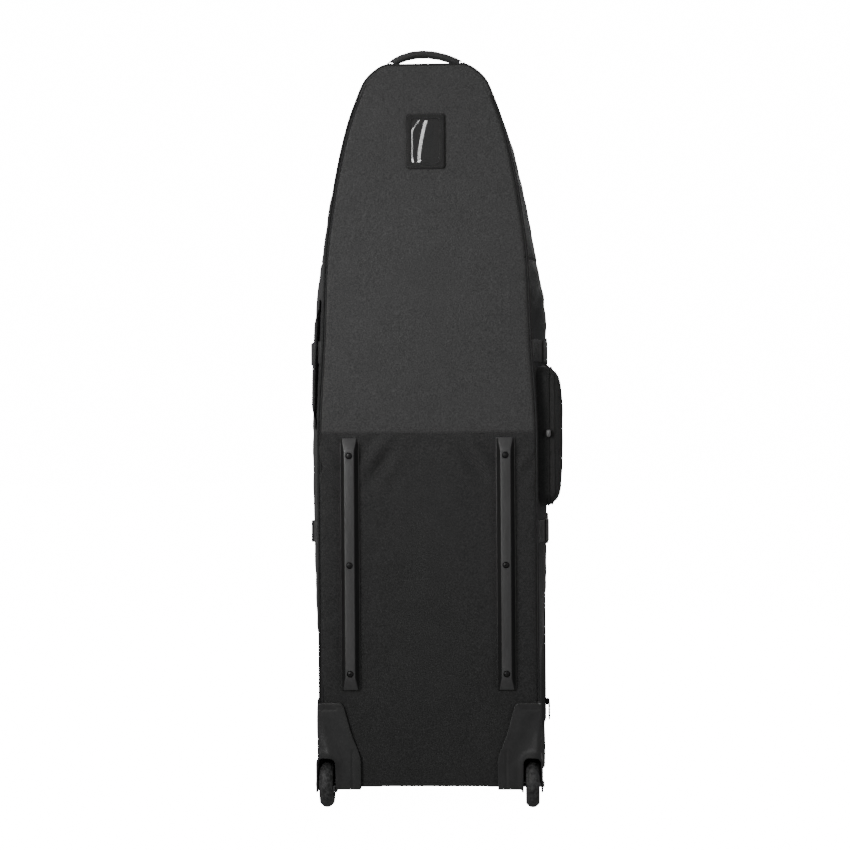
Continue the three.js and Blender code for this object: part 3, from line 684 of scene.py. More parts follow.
def studio():
    scene = bpy.context.scene
    target = Vector(row((-3.5, 0, 664)))
    camera = bpy.data.objects.new("camera", bpy.data.cameras.new("camera"))
    scene.collection.objects.link(camera)
    scene.camera = camera
    distance, azimuth, roll = 3.5, math.radians(2.5), math.radians(-0.4)
    ahead = Vector((-math.sin(azimuth), math.cos(azimuth), 0))
    camera.location = target - distance * ahead
    camera.rotation_mode = "QUATERNION"
    level = ahead.to_track_quat("-Z", "Y")
    camera.rotation_quaternion = level @ Matrix.Rotation(roll, 3, "Z").to_quaternion()
    seen_width = 1.4705
    camera.data.lens = camera.data.sensor_width * distance / seen_width
    camera.data.clip_end = 60

    for name, place, size, watts, spread in [
        ("key", (-1.25, -1.85, 1.15), (0.9, 0.9), 6.9, 80),
        ("window", (-1.7, -2.3, 2.5), (0.5, 1.3), 2.4, 60),
        ("fill", (2.2, -1.9, 1.1), (0.5, 1.2), 2.2, 90),
        ("top", (0.1, 0.4, 3.0), (1.4, 1.4), 4, 180),
        ("front", (0.6, 3.0, 2.2), (1.6, 1.6), 50, 180),
    ]:
        light = bpy.data.lights.new(name, "AREA")
        light.shape = "RECTANGLE"
        light.size, light.size_y = size
        light.energy = watts
        light.spread = math.radians(spread)
        lamp = bpy.data.objects.new(name, light)
        scene.collection.objects.link(lamp)
        lamp.location = place
        lamp.rotation_mode = "QUATERNION"
        lamp.rotation_quaternion = (Vector((0, 0, 0.9)) - lamp.location).to_track_quat("-Z", "Y")

    world = bpy.data.worlds.new("studio")
    scene.world = world
    world.use_nodes = True
    tree = world.node_tree
    pale = tree.nodes["Background"]
    room = tree.nodes.new("ShaderNodeBackground")
    for glow, strength in ((pale, PALE), (room, 0.25)):
        glow.inputs["Color"].default_value = (1, 1, 1, 1)
        glow.inputs["Strength"].default_value = strength
    paths = tree.nodes.new("ShaderNodeLightPath")
    either = tree.nodes.new("ShaderNodeMixShader")
    tree.links.new(paths.outputs["Is Camera Ray"], either.inputs[0])
    tree.links.new(room.outputs[0], either.inputs[1])
    tree.links.new(pale.outputs[0], either.inputs[2])
    tree.links.new(either.outputs[0], tree.nodes["World Output"].inputs["Surface"])

    mesh = bpy.data.meshes.new("floor")
    corners = [(20 * x, 20 * y, 0) for x, y in ((-1, -1), (1, -1), (1, 1), (-1, 1))]
    mesh.from_pydata(corners, [], [(0, 1, 2, 3)])
    floor = bpy.data.objects.new("floor", mesh)
    scene.collection.objects.link(floor)
    look = Look("floor")
    for key, value in (("Base Color", grey(0.8)), ("Emission Color", grey(1)), ("Emission Strength", PALE)):
        look.put(look.shader.inputs[key], value)
    mesh.materials.append(look.material)
    floor.visible_diffuse = False
    floor.visible_glossy = False


# ---------------------------------------------------------------- cloth panels
def only_used(points, faces):
    """The points that the faces use, and the faces numbered to match."""
    used = sorted({i for face in faces for i in face})
    place = {old: new for new, old in enumerate(used)}
    return points[used], [tuple(place[i] for i in face) for face in faces]


def sheet(name, points, material, body, skip=None, **rest):
    """Padded cloth from a grid of points whose columns run across and rows up, seen from outside."""
    points = np.asarray(points, float)
    rows, columns = points.shape[:2]
    flat = points.reshape(-1, 3)
    faces = [f for f in quads(rows, columns) if skip is None or not skip(flat[list(f)].mean(axis=0))]
    kept, faces = only_used(flat, faces)
    return thicken(piece(name, kept, faces, material, body, inside=lining, sharp=60, **rest), CLOTH)


WELL_INSIDE, WELL_TOP, WELL_DEPTH = 159.2, 92, 70


def in_well(middle):
    """Whether a face lies where a wheel well opens."""
    return abs(middle[0]) > WELL_INSIDE and middle[2] < WELL_TOP and middle[1] < WELL_DEPTH


def back_surface(x, z):
    """How far back the padded back panels lie at a place: crowned, turned in at the seams, creased."""
    x, z = np.broadcast_arrays(np.asarray(x, float), np.asarray(z, float))
    half = seam_half(z) + 1
    share = np.clip(np.abs(x) / half, 0, 1)
    crown = 4.2 * smooth(z, 655, 760) * (1 - smooth(z, 930, 1075))
    y = back_y(z) - crown * (1 - share**2.5)
    y = y + 2.6 * smooth(np.abs(x) - half, -7, 0) + 0.35 * hump(z, SEAM_Z, 3.2)
    places = np.stack([x, np.zeros_like(x), z], -1)
    upper = smooth(z, 670, 720) * (1 - hump(z, 1156, 75)) * (1 - smooth(share, 0.8, 1))
    y = y - 0.9 * upper * rough(places, 120, 3.1) - 0.3 * upper * rough(places, 38, 7.7)
    clear = 1 - hump(np.abs(x), 135, 17)
    lower = (z < SEAM_Z) * clear
    y = y - lower * 1.4 * smooth(z, 60, 200) * (1 - smooth(z, 600, 645)) * smooth(100 - np.abs(x), 0, 60)
    y = y - lower * 1.1 * smooth(np.abs(x), 150, 168) * smooth(z, 190, 240) * (1 - smooth(z, 615, 645))
    y = y - lower * smooth(z, 190, 260) * 0.55 * rough(places * (1, 1, 1.5), 60, 1.3)
    for side in (-1, 1):
        inward, drop = 118 - side * x, 640 - z
        run = (inward * 0.8 + drop * 0.6) / 42
        pull = np.exp(-(((inward - 34) / 30) ** 2) - ((drop - 36) / 38) ** 2)
        y = y - (z < SEAM_Z) * (5.6 if side < 0 else 5.0) * pull * np.cos(math.pi * 2 * run + 0.6)
        outward_x = side * x - 152
        strip = smooth(outward_x, 0, 10) * np.exp(-(((drop - 42) / 34) ** 2))
        y = y - (z < SEAM_Z) * 2.6 * strip * np.cos((outward_x * 1.2 + drop) / 9)
    ripple = smooth(-x, 152, 162) * hump(z, 318, 36) * (z < SEAM_Z)
    return y + 0.9 * ripple * np.cos(z / 4.4)


def back_panels():
    z = spaced(SEAM_Z + 0.05, TOP - 0.5, 5.5)
    z, share = np.meshgrid(z, crowded(81, 0.45), indexing="ij")
    x = share * (seam_half(z) + 1)
    points = np.stack([x, back_surface(x, z), z], -1)
    upper = sheet(
        "back_upper", points, light_cloth, "bag", replaces=["back_panel_upper"], slot="light_cloth"
    )

    z = spaced(BASE + 1, SEAM_Z + 4, 5, extra=(WELL_TOP, SEAM_Z - 0.1))
    x = spaced(-188, 188, 5, extra=(-WELL_INSIDE, WELL_INSIDE))
    z, x = np.meshgrid(z, x, indexing="ij")
    under = 3 * smooth(-z, -BASE - 8, -BASE) + 1.8 * smooth(z, SEAM_Z, SEAM_Z + 2)
    points = np.stack([x, back_surface(x, np.minimum(z, SEAM_Z - 0.1)) + under, z], -1)
    lower = sheet(
        "back_lower", points, heavy_cloth, "bag", skip=in_well,
        replaces=["back_panel_lower"], slot="heavy_cloth",
    )

    seam = np.linspace(-176, 176, 90)
    rows = []
    for z in (SEAM_Z + 5, SEAM_Z + 9):
        rows.append(np.stack([seam, back_surface(seam, z) - 0.05, np.full(90, z)], -1))
    stitches("back_seam_stitches", rows, [(0, -1, 0)] * 2, "bag")


GUSSET_SEAM = 952


def gusset_out(z, v, side):
    """How far the padding of a gusset stands proud: slack between the straps, and fuller on the right."""
    arch = np.sin(np.pi * v)
    free = under_straps(z) * smooth(z, 190, 250) * (1 - smooth(z, 1140, 1228)) * arch**0.8
    places = np.stack([v * 190, z, np.full_like(z, 50.0 * side)], -1)
    out = free * (1.0 + 1.8 * rough(places, 70, 2.2) + 1.3 * rough(places * (1, 2.2, 1), 45, 5.5))
    out = out + 2.6 * hump(z, 303, 24) * arch
    if side > 0:
        out = out + 5 * hump(z, 845, 60) * under_straps(z) * arch
        out = out + 2.5 * hump(z, 980, 60) * arch
        fold = z - 868 - 130 * (v - 0.35)
        out = out + free * hump(v, 0.38, 0.3) * (2.4 * hump(fold, 0, 13) - 1.9 * hump(fold, 24, 12))
    else:
        out = out - 2.0 * hump(z, 880, 70) * arch
    out = out - 1.6 * hump(z, GUSSET_SEAM, 5) * arch
    return out - 1.5 * smooth(z, 1237, 1246)


def gussets():
    parts = (("lower", BASE + 4, GUSSET_SEAM + 4), ("upper", GUSSET_SEAM, TOP - 1))
    for side, name in SIDES:
        for part, low, high in parts:
            z = spaced(low, high, 5, extra=(WELL_TOP, GUSSET_SEAM) if part == "lower" else ())
            v = np.linspace(0, 1, 36)
            z, v = np.meshgrid(z, v if side > 0 else v[::-1], indexing="ij")
            tuck = 1.6 * smooth(z, GUSSET_SEAM, GUSSET_SEAM + 2) * (part == "lower")
            points = gusset(z, v, gusset_out(z, v, side) - tuck, side)
            sewn = smooth(v, 0.9, 0.96) * smooth(z, ZIP_START - 20, ZIP_START)
            points[..., 0] = points[..., 0] * (1 - sewn) + side * (zip_half(z) + 1.2 - tuck) * sewn
            thing = sheet(
                f"gusset_{name}_{part}", points, side_cloth, "bag", skip=in_well,
                replaces=[f"gusset_{name}"], slot="side_cloth",
            )
        v = np.linspace(0.03, 0.96, 60)
        levels = [np.full(60, GUSSET_SEAM + offset) for offset in (-4.5, 4.5)]
        rows = [gusset(z, v, gusset_out(z, v, side) + 0.1, side) for z in levels]
        stitches(f"gusset_{name}_stitches", rows, [(side, 0, 0)] * 2, "bag")


def settled_path(points, passes):
    """Rounds a path's corners by easing each point towards its neighbours."""
    points = np.array(points, float)
    for _ in range(passes):
        points[1:-1] = (points[:-2] + 2 * points[1:-1] + points[2:]) / 4
    return points


def arch_path(half, y_at, out, start, passes=2):
    """Up the right side, over the crown and down the left side, `out` outside the half widths."""
    z = spaced(start, TOP - 0.5, 5)
    normal = out * unit(np.stack([np.ones_like(z), half(z - 0.5) - half(z + 0.5)], -1))
    right = np.stack([half(z) + normal[:, 0], y_at(z), z + normal[:, 1]], -1)
    reach = half(TOP) - 3
    x = spaced(-reach, reach, 5)[::-1]
    over = np.stack([x, np.full_like(x, y_at(TOP)), np.full_like(x, TOP + out)], -1)
    return settled_path(np.concatenate([right, over, (right * (-1, 1, 1))[::-1]]), passes)


def crown():
    """The strip over the top, from the back seam to the zip, down to a seam on each side."""
    start, out, passes = 1236, 0.9, 3
    back = arch_path(seam_half, back_y, out, start, passes)
    front = arch_path(zip_half, zip_y, out, start, passes)
    front = sampled(np.linspace(0, 1, len(back)), np.linspace(0, 1, len(front)), front)
    v = np.linspace(0, 1, 30)[None, :, None]
    points = back[:, None] * (1 - v) + front[:, None] * v
    puff = 2.2 * np.sin(np.pi * v[..., 0]) ** 0.7 * hump(points[..., 0], 0, 62)
    points[..., 2] += puff + 0.4 * rough(points, 34, 4.4) * np.sin(np.pi * v[..., 0])
    thing = sheet("crown", points, light_cloth, "bag", replaces=["crown_panel"], slot="light_cloth")
    rows = [points[1] + (0.5, 0, 0.2), points[-2] + (-0.5, 0, 0.2)]
    stitches("crown_stitches", rows, [(1, 0, 0.6), (-1, 0, 0.6)], "bag")


LID_LOW = HINGE_Z - 8
YOKE_Z = 792


def lid_surface(z, angle):
    """The front with its padding, which is flatter behind the pocket."""
    places = lid(z, angle)
    arch = np.sin(np.clip(angle, 0, math.pi))
    free = smooth(z, 150, 220) * (1 - smooth(z, 1180, 1270)) * arch**0.7
    pocket = smooth(np.abs(z - 540), 190, 240)
    out = free * (1.3 * rough(places, 95, 8.8) + 0.6 * rough(places, 42, 1.9)) * (0.35 + 0.65 * pocket)
    out = out - 1.7 * hump(z, YOKE_Z, 5) * arch
    return lid(z, angle, out)


def front():
    t = np.linspace(0, 1, 81)
    angle = math.pi * (t - 0.6 * np.sin(2 * math.pi * t) / (2 * math.pi))
    z = spaced(LID_LOW, TOP, 6, extra=(HINGE_Z - 4, HINGE_Z, HINGE_Z + 4))
    zz, aa = np.meshgrid(z, angle, indexing="ij")
    points = lid_surface(zz, aa)
    cap = []
    for inset in (0.97, 0.85, 0.6, 0.3, 0.02):
        ring = lid(np.full_like(angle, TOP), angle)
        ring[:, 1] = zip_y(TOP) + (ring[:, 1] - zip_y(TOP)) * inset
        ring[:, 2] = TOP + 1.6 * (1 - inset**2) ** 0.5
        cap.append(ring)
    points = np.concatenate([points, cap])
    thing = settled(sheet("lid", points, light_cloth, None, replaces=["lid_panel"], slot="light_cloth"))
    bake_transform(thing)
    turn = np.linspace(0.05, math.pi - 0.05, 120)
    rows = [lid_surface(np.full(120, YOKE_Z + offset), turn) + (0, 0.15, 0) for offset in (-5, 5)]
    stitches("lid_stitches", rows, [(0, 1, 0)] * 2, "lid")

    z = spaced(BASE + 3, HINGE_Z - 2, 6)
    zz, aa = np.meshgrid(z, angle, indexing="ij")
    points = lid(zz, aa, 1.2 * np.sin(np.pi * (zz - BASE) / (HINGE_Z - BASE)) + 0.4)
    apron = sheet("apron", points, heavy_cloth, "bag", replaces=["front_apron"], slot="heavy_cloth")


def base():
    """The underside: a stiffened panel whose edge turns up all round."""
    v = np.linspace(0, 1, 40)
    turn = np.linspace(0.02, math.pi - 0.02, 80)
    level = 60.0
    right = gusset(np.full(40, level), v)[:, :2]
    ahead = lid(np.full(80, level), turn)[:, :2]
    across = spaced(-184, 184, 8)
    outline = np.concatenate([right, ahead, (right * (-1, 1))[::-1], np.stack([across, 0 * across], -1)])
    middle, half = np.array([0, 128]), 128
    rings = []
    for inset, up in ((0.2, 6), (0.2, 2.5), (1.2, 0.8), (4, 0), (12, 0), (40, 0), (90, 0), (125, 0)):
        rings.append(facing_z((outline - middle) * (1 - inset / half) + middle, BASE + up))
    flat = np.concatenate(rings)
    count = len(outline)
    grid = quads(len(rings), count, across=True)
    faces = [f[::-1] for f in grid if not in_well(flat[list(f)].mean(axis=0))]
    faces.append(tuple(range(len(flat) - count, len(flat)))[::-1])
    kept, faces = only_used(flat, faces)
    thing = piece(
        "base", kept, faces, heavy_cloth, "bag",
        inside=lining, replaces=["base_panel"], slot="heavy_cloth",
    )
    thicken(thing, CLOTH)


def piping_and_zip():
    path = arch_path(seam_half, lambda z: back_y(z) + 1.2, 2.4, HOUSING_TOP + 2)
    swept(
        "seam_piping_cord", path, circle(2.1), (0, -1, 0), piping, "bag",
        replaces=["seam_piping"], slot="piping",
    )
    width = 6.6
    for side, body, node in ((-1, "bag", "body"), (1, "lid", "lid")):
        path = arch_path(zip_half, lambda z: zip_y(z) + side * (0.7 + width / 2), 1.9, ZIP_START)
        tape = rounded(width, 1.1, 0.5, 2)
        swept(
            f"main_zip_{node}", path, tape[:, ::-1], (0, 1, 0), zip_tape, body,
            replaces=[f"main_zip_tape_{node}"], slot="zip_tape",
        )
        line = arch_path(zip_half, lambda z: zip_y(z) + side * 1.1, 2.6, ZIP_START + 3)
        teeth(f"main_zip_teeth_{node}", line, (0, 1, 0), body, phase=0.5 * (side > 0))
        row_at = arch_path(zip_half, lambda z: zip_y(z) + side * 6, 2.55, ZIP_START + 3)
        outside = row_at - (0, 0, 700)
        outside[:, 1] = 0
        stitches(f"main_zip_stitches_{node}", [row_at], [outside], body)


def teeth(name, path, across, body, phase=0.0):
    """Moulded zip teeth along a path, each a block that narrows outwards."""
    path = np.asarray(path, float)
    pitch, long, wide, high = 2.6, 1.5, 3.4, 1.9
    run = distances(path)
    at = np.arange(pitch * (0.5 + phase), run[-1] - pitch, pitch)
    middle = sampled(at, run, path)
    ahead = unit(sampled(at + 1, run, path) - middle)
    side = np.broadcast_to(np.asarray(across, float), middle.shape)
    up = np.cross(side, ahead)
    corners = []
    for level, grow in ((-1, 1.0), (0.3, 1.0), (1, 0.6)):
        for a, b in ((-1, -1), (1, -1), (1, 1), (-1, 1)):
            to_side = b * (0.4 + 0.6 * grow) * wide / 2
            corners.append(middle + ahead * (a * grow * long / 2) + side * to_side + up * (level * high / 2))
    points = np.stack(corners, 1)
    tooth = [(3, 2, 1, 0), (8, 9, 10, 11)]
    tooth += [(k + j, k + (j + 1) % 4, k + 4 + (j + 1) % 4, k + 4 + j) for k in (0, 4) for j in range(4)]
    faces = [tuple(12 * i + j for j in face) for i in range(len(at)) for face in tooth]
    return outward(piece(name, points, faces, teeth_plastic, body, sharp=20))


# ---------------------------------------------------------------- skid rails and rivets
PLACES = ("bottom", "middle", "top")


def skid_rail(side, name):
    low, high = drawn(f"skid_rail_{name}")
    middle, height = abs((low[0] + high[0]) / 2), high[1] - low[1]
    bottom, top = low[2], high[2]
    near, base_half, crest_half, flare = high[1], (high[0] - low[0]) / 2, 8.2, 4.0
    ramp = np.array([0, 0.8, 2, 5, 9, 13, 17, 20, 23, 28, 36])
    rings = []
    for z in np.concatenate([bottom + ramp, np.linspace(bottom + 46, top - 46, 30), (top - ramp)[::-1]]):
        end = min(z - bottom, top - z)
        rise = height * (0.28 + 0.72 * smooth(end, -6, 24))
        crest = crest_half + flare * (1 - smooth(end, 0, 26))
        soft = 0.7 * (1 - smooth(end, 0, 1.6))
        half = base_half - soft
        flange = min(2.0, rise * 0.6)
        right = [
            (half, 0), (half, 0.65 * flange), (half - 0.7, flange), (half - 1.8, flange + 0.3),
            (crest + 1.5, max(flange + 0.4, rise - 2.2)), (crest + 0.9, rise - 0.9),
            (crest, rise - 0.25 - soft), (crest - 1.2, rise - soft),
        ]
        outline = right + [(-x, y) for x, y in reversed(right)]
        rings.append([(side * (middle + x), near - y, z) for x, y in outline])
    rail = ringed(
        f"rail_{name}", rings, rail_plastic, "bag",
        replaces=[f"skid_rail_{name}"], slot="rail", sharp=50,
    )
    # Crest faces that look back take the paler copy: painted light on the lit top, with the slopes left dark
    # as shade.
    rail.data.materials.append(rail_crest)
    for face in rail.data.polygons:
        x, _, z = undrawn(face.center)
        reach = crest_half + flare * (1 - smooth(min(z - bottom, top - z), 0, 26))
        if face.normal.y < -0.6 and abs(abs(x) - middle) < reach:
            face.material_index = 1
    floor = near - height + 2.8
    cutters = []
    for place in PLACES:
        x, _, z = centre(f"rail_rivet_{name}_{place}")
        hole = rounded(12, 12, 5.99, 8, (x, z))
        rings = [facing_y(hole, -30), facing_y(hole, floor)]
        cutters.append(ringed("cutter", rings, rail_plastic, None))
    carve(rail, cutters)


def rivet(name, place, crest):
    node = f"rail_rivet_{name}_{place}"
    x, _, z = centre(node)
    inside = drawn(node)[1][1]
    dome = [(5.4 * math.cos(a), crest + 2.5 - 2.3 * math.sin(a)) for a in np.linspace(0.1, 1.35, 7)]
    outline = [(2.3, crest + 2.75), (5.4, crest + 2.75), *dome, (0.7, crest + 1.5), (0.5, inside)]
    outline += [(4.3, inside), (4.4, inside - 1.4), (2.3, inside - 1.5)]
    lathe(
        f"rivet_{name}_{place}", outline, (x, 0, z), rivet_metal, "bag", 40, "y",
        replaces=[node], slot="rivet",
    )


def rails():
    for side, name in SIDES:
        skid_rail(side, name)
        for place in PLACES:
            rivet(name, place, drawn(f"skid_rail_{name}")[0][1])


# ---------------------------------------------------------------- wheels and their housings
def block(low, high):
    """A plain solid for cutting or joining."""
    outline = [(low[0], low[2]), (high[0], low[2]), (high[0], high[2]), (low[0], high[2])]
    return ringed("block", [facing_y(outline, low[1]), facing_y(outline, high[1])], moulded, None)


WELL = (163.0, 193.2)  # the wheel well's two sides
WELL_ARCH, WELL_REACH = 88.1, 66  # its height, and its depth from the back
HOUSING_FOOT = 4.5  # how far the housing's edge stands over the lowest CAD point


def housing_solids(low, high):
    """The back face, side face, sole and wheel case of the right-hand corner, and the well's space."""
    back, front_y, sole, top = low[1] + 3, high[1], low[2] + HOUSING_FOOT, high[2]
    outer, inner, skin = 193.5, low[0], 189.3
    face = rounded_corners([
        (outer, sole), (outer, top), (inner + 31, top), (inner + 15.5, 128),
        (inner + 3.5, 98.5), (inner, 86), (inner, sole),
    ], 9, 6)
    cheek = rounded_corners([
        (back, sole), (front_y, sole), (front_y, 66), (84, 118), (52, 158), (20, 178), (back, top),
    ], 10, 4)
    wall, under, middle = 3.4, 9, (WELL[0] + WELL[1]) / 2
    crown_z, width = WELL_ARCH + wall, WELL[1] - WELL[0]
    case = rounded(width + 2 * wall, crown_z - under, 12, 6, (middle, (crown_z + under) / 2))
    tube = ringed("case", [facing_y(case, back), facing_y(case, WELL_REACH + wall)], moulded, None)
    parts = [
        ringed("housing", [facing_y(face, back), facing_y(face, 0.6)], moulded, None),
        ringed("cheek", [facing_x(cheek, skin), facing_x(cheek, outer)], moulded, None),
        block((inner, back, sole), (outer, front_y, sole + 4)),
        carve(tube, [block((0, -100, -60), (300, 200, 29))]),
    ]
    space = rounded(width, WELL_ARCH + 60, 9.5, 6, (middle, (WELL_ARCH - 60) / 2))
    return parts, ringed("space", [facing_y(space, back - 30), facing_y(space, WELL_REACH)], moulded, None)


def housing_relief(x, y, z, side, back, top):
    """Each point of a right-hand housing with its moulded relief: ridge, hollow, groove, lip and ledge."""
    on_back = 1 - smooth(y, back + 1.2, back + 2.5)
    line = (x - 195) * 0.905 - (z - 170) * 0.426
    if side > 0:
        belly = 1.1 * smooth(line, 2, 24) * (1 - smooth(x, 186, 193)) * smooth(z, 62, 104)
    else:
        belly = 3.4 * smooth(line, -6, 18) * (1 - smooth(x, 160, 196)) * smooth(z, 60, 100)
        belly = belly * (1 - smooth(z, 112, 172))
    belly = belly * (1 - smooth(z, 152, 172))
    hollow = hump(line, -9, 9) * smooth(z, 50, 90) * (1 - smooth(z, 150, 172))
    groove = hump(x, 133.2, 1.5) * smooth(104 - z, 0, 8)
    lip = smooth(z, top - 7, top - 4) * (1 - smooth(z, top - 1.5, top))
    ledge = hump(z, top - 11.5, 1.3) * smooth(x, 158, 162)
    from_arch = np.hypot((x - (WELL[0] + WELL[1]) / 2) / 19, np.maximum(z - 80, 0) / 19)
    around = (1 - smooth(from_arch, 1.0, 1.35)) * (z < 112)
    raised = 3.4 * belly + 0.5 * lip + 0.9 * around - 0.7 * hollow - 1.3 * groove - 0.7 * ledge
    on_side = smooth(x, 192.4, 193.4) * (z > 94)
    outward_x = on_side * (0.9 * hump(line, 8, 14) - 0.6 * hump(z - 0.54 * (110 - y), 60, 3))
    return np.stack([side * (x + outward_x), y - on_back * raised, z], -1)


def housing(side, name):
    low, high = drawn("wheel_housing_right")
    parts, space = housing_solids(low, high)
    thing = joined("housing", parts)
    carve(thing, [space])
    remeshed(thing)
    back, top = low[1] + 3, high[2]
    x, y, z = undrawn([v.co for v in thing.data.vertices]).T
    move_points(thing, row(housing_relief(x, y, z, side, back, top)))
    outward(thing)
    # The faces inside each wheel well take the paler plastic: painted light in a deep recess where shade
    # falls.
    thing.data.materials.append(well_dust)
    for face in thing.data.polygons:
        x, y, z = undrawn(face.center)
        in_space = WELL[0] - 1 < abs(x) < WELL[1] + 1 and z < WELL_ARCH + 1
        face.material_index = int(in_space and back + 2.5 < y < WELL_REACH + 1)
    thing.name = thing.data.name = f"housing_{name}"
    placed(thing, "bag", [f"wheel_housing_{name}"])


def wheel(side, name):
    middle = centre(f"wheel_tyre_{name}")
    low, high = drawn(f"wheel_tyre_{name}")
    radius, half = (high[2] - low[2]) / 2, (high[0] - low[0]) / 2
    seat = 24.8
    body = f"wheel_{name}"
    tread = [(radius - 7 * abs(t) ** 2.4, half * 0.985 * t) for t in np.linspace(-1, 1, 21)]
    grooves = [(r - 0.5 * math.exp(-((abs(x) - 8.6) / 0.5) ** 2), x) for r, x in tread]
    lips = [(31.5, half), (29, half - 0.2), (seat, 9.6)]
    outline = [*((r, -x) for r, x in lips[::-1]), *grooves, *lips]
    lathe(f"tyre_{name}", outline, middle, tyre, body, 96, replaces=[f"wheel_tyre_{name}"], slot="tyre")

    half_rim = [
        (24.4, 9.3), (22.4, 9.3), (21.6, 7.2), (15.4, 10.2), (14.6, 11.2),
        (11.3, 11.2), (11.3, 3.9), (6.1, 3.9),
    ]
    rim = [*half_rim, *((r, -x) for r, x in half_rim[::-1])]
    lathe(
        f"core_{name}", rim, middle, core_plastic, body,
        replaces=[f"wheel_core_{name}"], slot="wheel_core",
    )
    for end, way in (("inner", -1), ("outer", 1)):
        node = f"wheel_bearing_{end}_{name}"
        race = [
            (4.15, 4.3), (4.15, 11.1), (6.2, 11.1), (6.5, 10.7),
            (8.9, 10.7), (9.2, 11.1), (10.9, 11.1), (10.9, 4.3),
        ]
        outline = [(r, side * way * x) for r, x in race]
        lathe(
            f"bearing_{end}_{name}", outline, middle, steel, body, 48,
            replaces=[node], slot="bearing_steel",
        )

    axle_low, axle_high = drawn(f"wheel_axle_{name}")
    inside, outside = sorted((abs(axle_low[0]), abs(axle_high[0])))
    shaft = [
        (0.5, inside), (3.4, inside), (3.9, inside + 0.5), (3.9, inside + 2.6),
        (5.4, 163.5), (5.4, 166.9), (3.9, 167.1), (3.9, 189.9), (5.4, 190.1), (5.4, 192.8),
        (3.9, 193.2), (3.9, outside - 2.2), (6.3, outside - 2.1),
    ]
    cap = [(6.3 * math.cos(a), outside - 1.1 + 1.1 * math.sin(a)) for a in np.linspace(0.1, 1.2, 6)]
    socket = [(2.0, outside - 0.2), (1.8, outside - 1.8), (0.5, outside - 1.8)]
    outline = [(r, side * x) for r, x in [*shaft, *cap, *socket]]
    lathe(
        f"axle_{name}", outline, middle * (0, 1, 1), steel, "bag", 40,
        replaces=[f"wheel_axle_{name}"], slot="bearing_steel",
    )


def feet():
    """Front feet with two grooves round each."""
    for _, name in SIDES:
        low, high = drawn(f"front_foot_{name}")
        x, y, _ = (low + high) / 2
        length, width, top = high - low
        levels = [(0, 3.2), (0.5, 2.2), (1.8, 1.6)]
        levels += [(9, 1.2), (9.8, 2.4), (11.8, 2.4), (12.6, 1.0)]
        levels += [(19, 0.8), (19.8, 2.0), (21.8, 2.0), (22.6, 0.6)]
        levels += [(34, 0.2), (top - 0.8, 0.2), (top, 1)]
        rings = []
        for z, inset in levels:
            outline = rounded(length - 2 * inset, width - 2 * inset, 9 - inset * 0.5, 6, (x, y))
            rings.append(facing_z(outline, z))
        ringed(
            f"foot_{name}", rings, rubber, "bag",
            replaces=[f"front_foot_{name}"], slot="rubber", sharp=50,
        )


# ---------------------------------------------------------------- ID holder
def id_holder():
    z_at = centre("id_frame")[2]
    tilt = math.atan(back_y(z_at + 1) - back_y(z_at))

    def on_holder(points):
        x, y, z = np.moveaxis(np.asarray(points, float), -1, 0)
        turned = [x, y * math.cos(tilt) + z * math.sin(tilt), z * math.cos(tilt) - y * math.sin(tilt)]
        return np.stack(turned, -1) + (0, back_y(z_at) - 0.6, z_at)

    def ring(inset, y):
        width, height, radius = 67.5, 97.0, 5.5 if inset < 8 else 6.5
        return facing_y(rounded(width - 2 * inset, height - 2 * inset, radius, 7), y)

    section = [
        (0, 0.2), (0, -1.9), (0.5, -2.9), (1.6, -3.5), (4.5, -3.9), (8.2, -3.7),
        (9.4, -3.0), (9.7, -2.2), (9.7, -1.75), (8.4, -1.7), (8.4, 0.2),
    ]
    rings = on_holder([ring(inset, y) for inset, y in section])
    border = ringed(
        "id_border", rings, frame_cloth, "bag", closed=True,
        replaces=["id_frame"], slot="id_frame", sharp=50,
    )
    low, high = drawn("id_card")
    half = (high[0] - low[0]) / 2 + 0.3
    opening = [(-half, 0), (half, 0), (half, 70), (-half, 70)]
    slot_box = on_holder([facing_y(opening, y) for y in (-1.68, -0.6)])
    carve(border, [ringed("slot", slot_box, frame_cloth, None)])

    def loop_at(inset, y):
        return on_holder(looped(ring(inset, y)))

    stitches("id_stitches", [loop_at(2.6, -3.75), loop_at(7.9, -3.8)], [(0, -1, 0)] * 2, "bag")

    x, z = np.meshgrid(np.linspace(-1, 1, 61), np.linspace(-1, 1, 91))
    t = (z + 1) / 2
    fold = -0.42 + 0.52 * t**1.8

    def ramp(value, low, high):
        return 0.75 * np.clip((value - low) / (high - low), 0, 1) + 0.25 * smooth(value, low, high)

    left = -0.97 + 0.5 * smooth(t, 0.66, 1) ** 1.3 + 0.1 * smooth(-t, -0.14, 0)
    rise = 1.3 * ramp(x - left, 0, 0.17)
    rise = rise - 1.2 * smooth(x, left + 0.18, np.maximum(fold - 0.16, left + 0.3))
    rise = rise + 2.3 * ramp(x - fold, -0.15, 0.15) - 0.9 * smooth(x, fold + 0.18, 0.85)
    rise = rise - 1.5 * ramp(x, 0.86, 0.99)
    rise = rise * (1 - 0.85 * smooth(-z, 0.68, 1) * smooth(x, 0, 0.4))
    y = -2.1 - rise * (1 - np.abs(z) ** 18)
    outer = on_holder(np.stack([x * 26.3, y, z * 39.6], -1))
    window = piece("id_vinyl", outer, quads(91, 61), vinyl, "bag", replaces=["id_window"], slot="clear_vinyl")
    thicken(window, 0.35)

    card_height = (high[2] - low[2]) / math.cos(tilt) - 0.1
    outline = rounded(high[0] - low[0], card_height, 3)
    section = ((-1.5, 0.2), (-1.4, 0), (-0.9, 0), (-0.8, 0.2))
    rings = [on_holder(facing_y(outline * (1 - inset / 30), y)) for y, inset in section]
    ringed("id_paper", rings, card, "id_card_insert", replaces=["id_card"], slot="card")


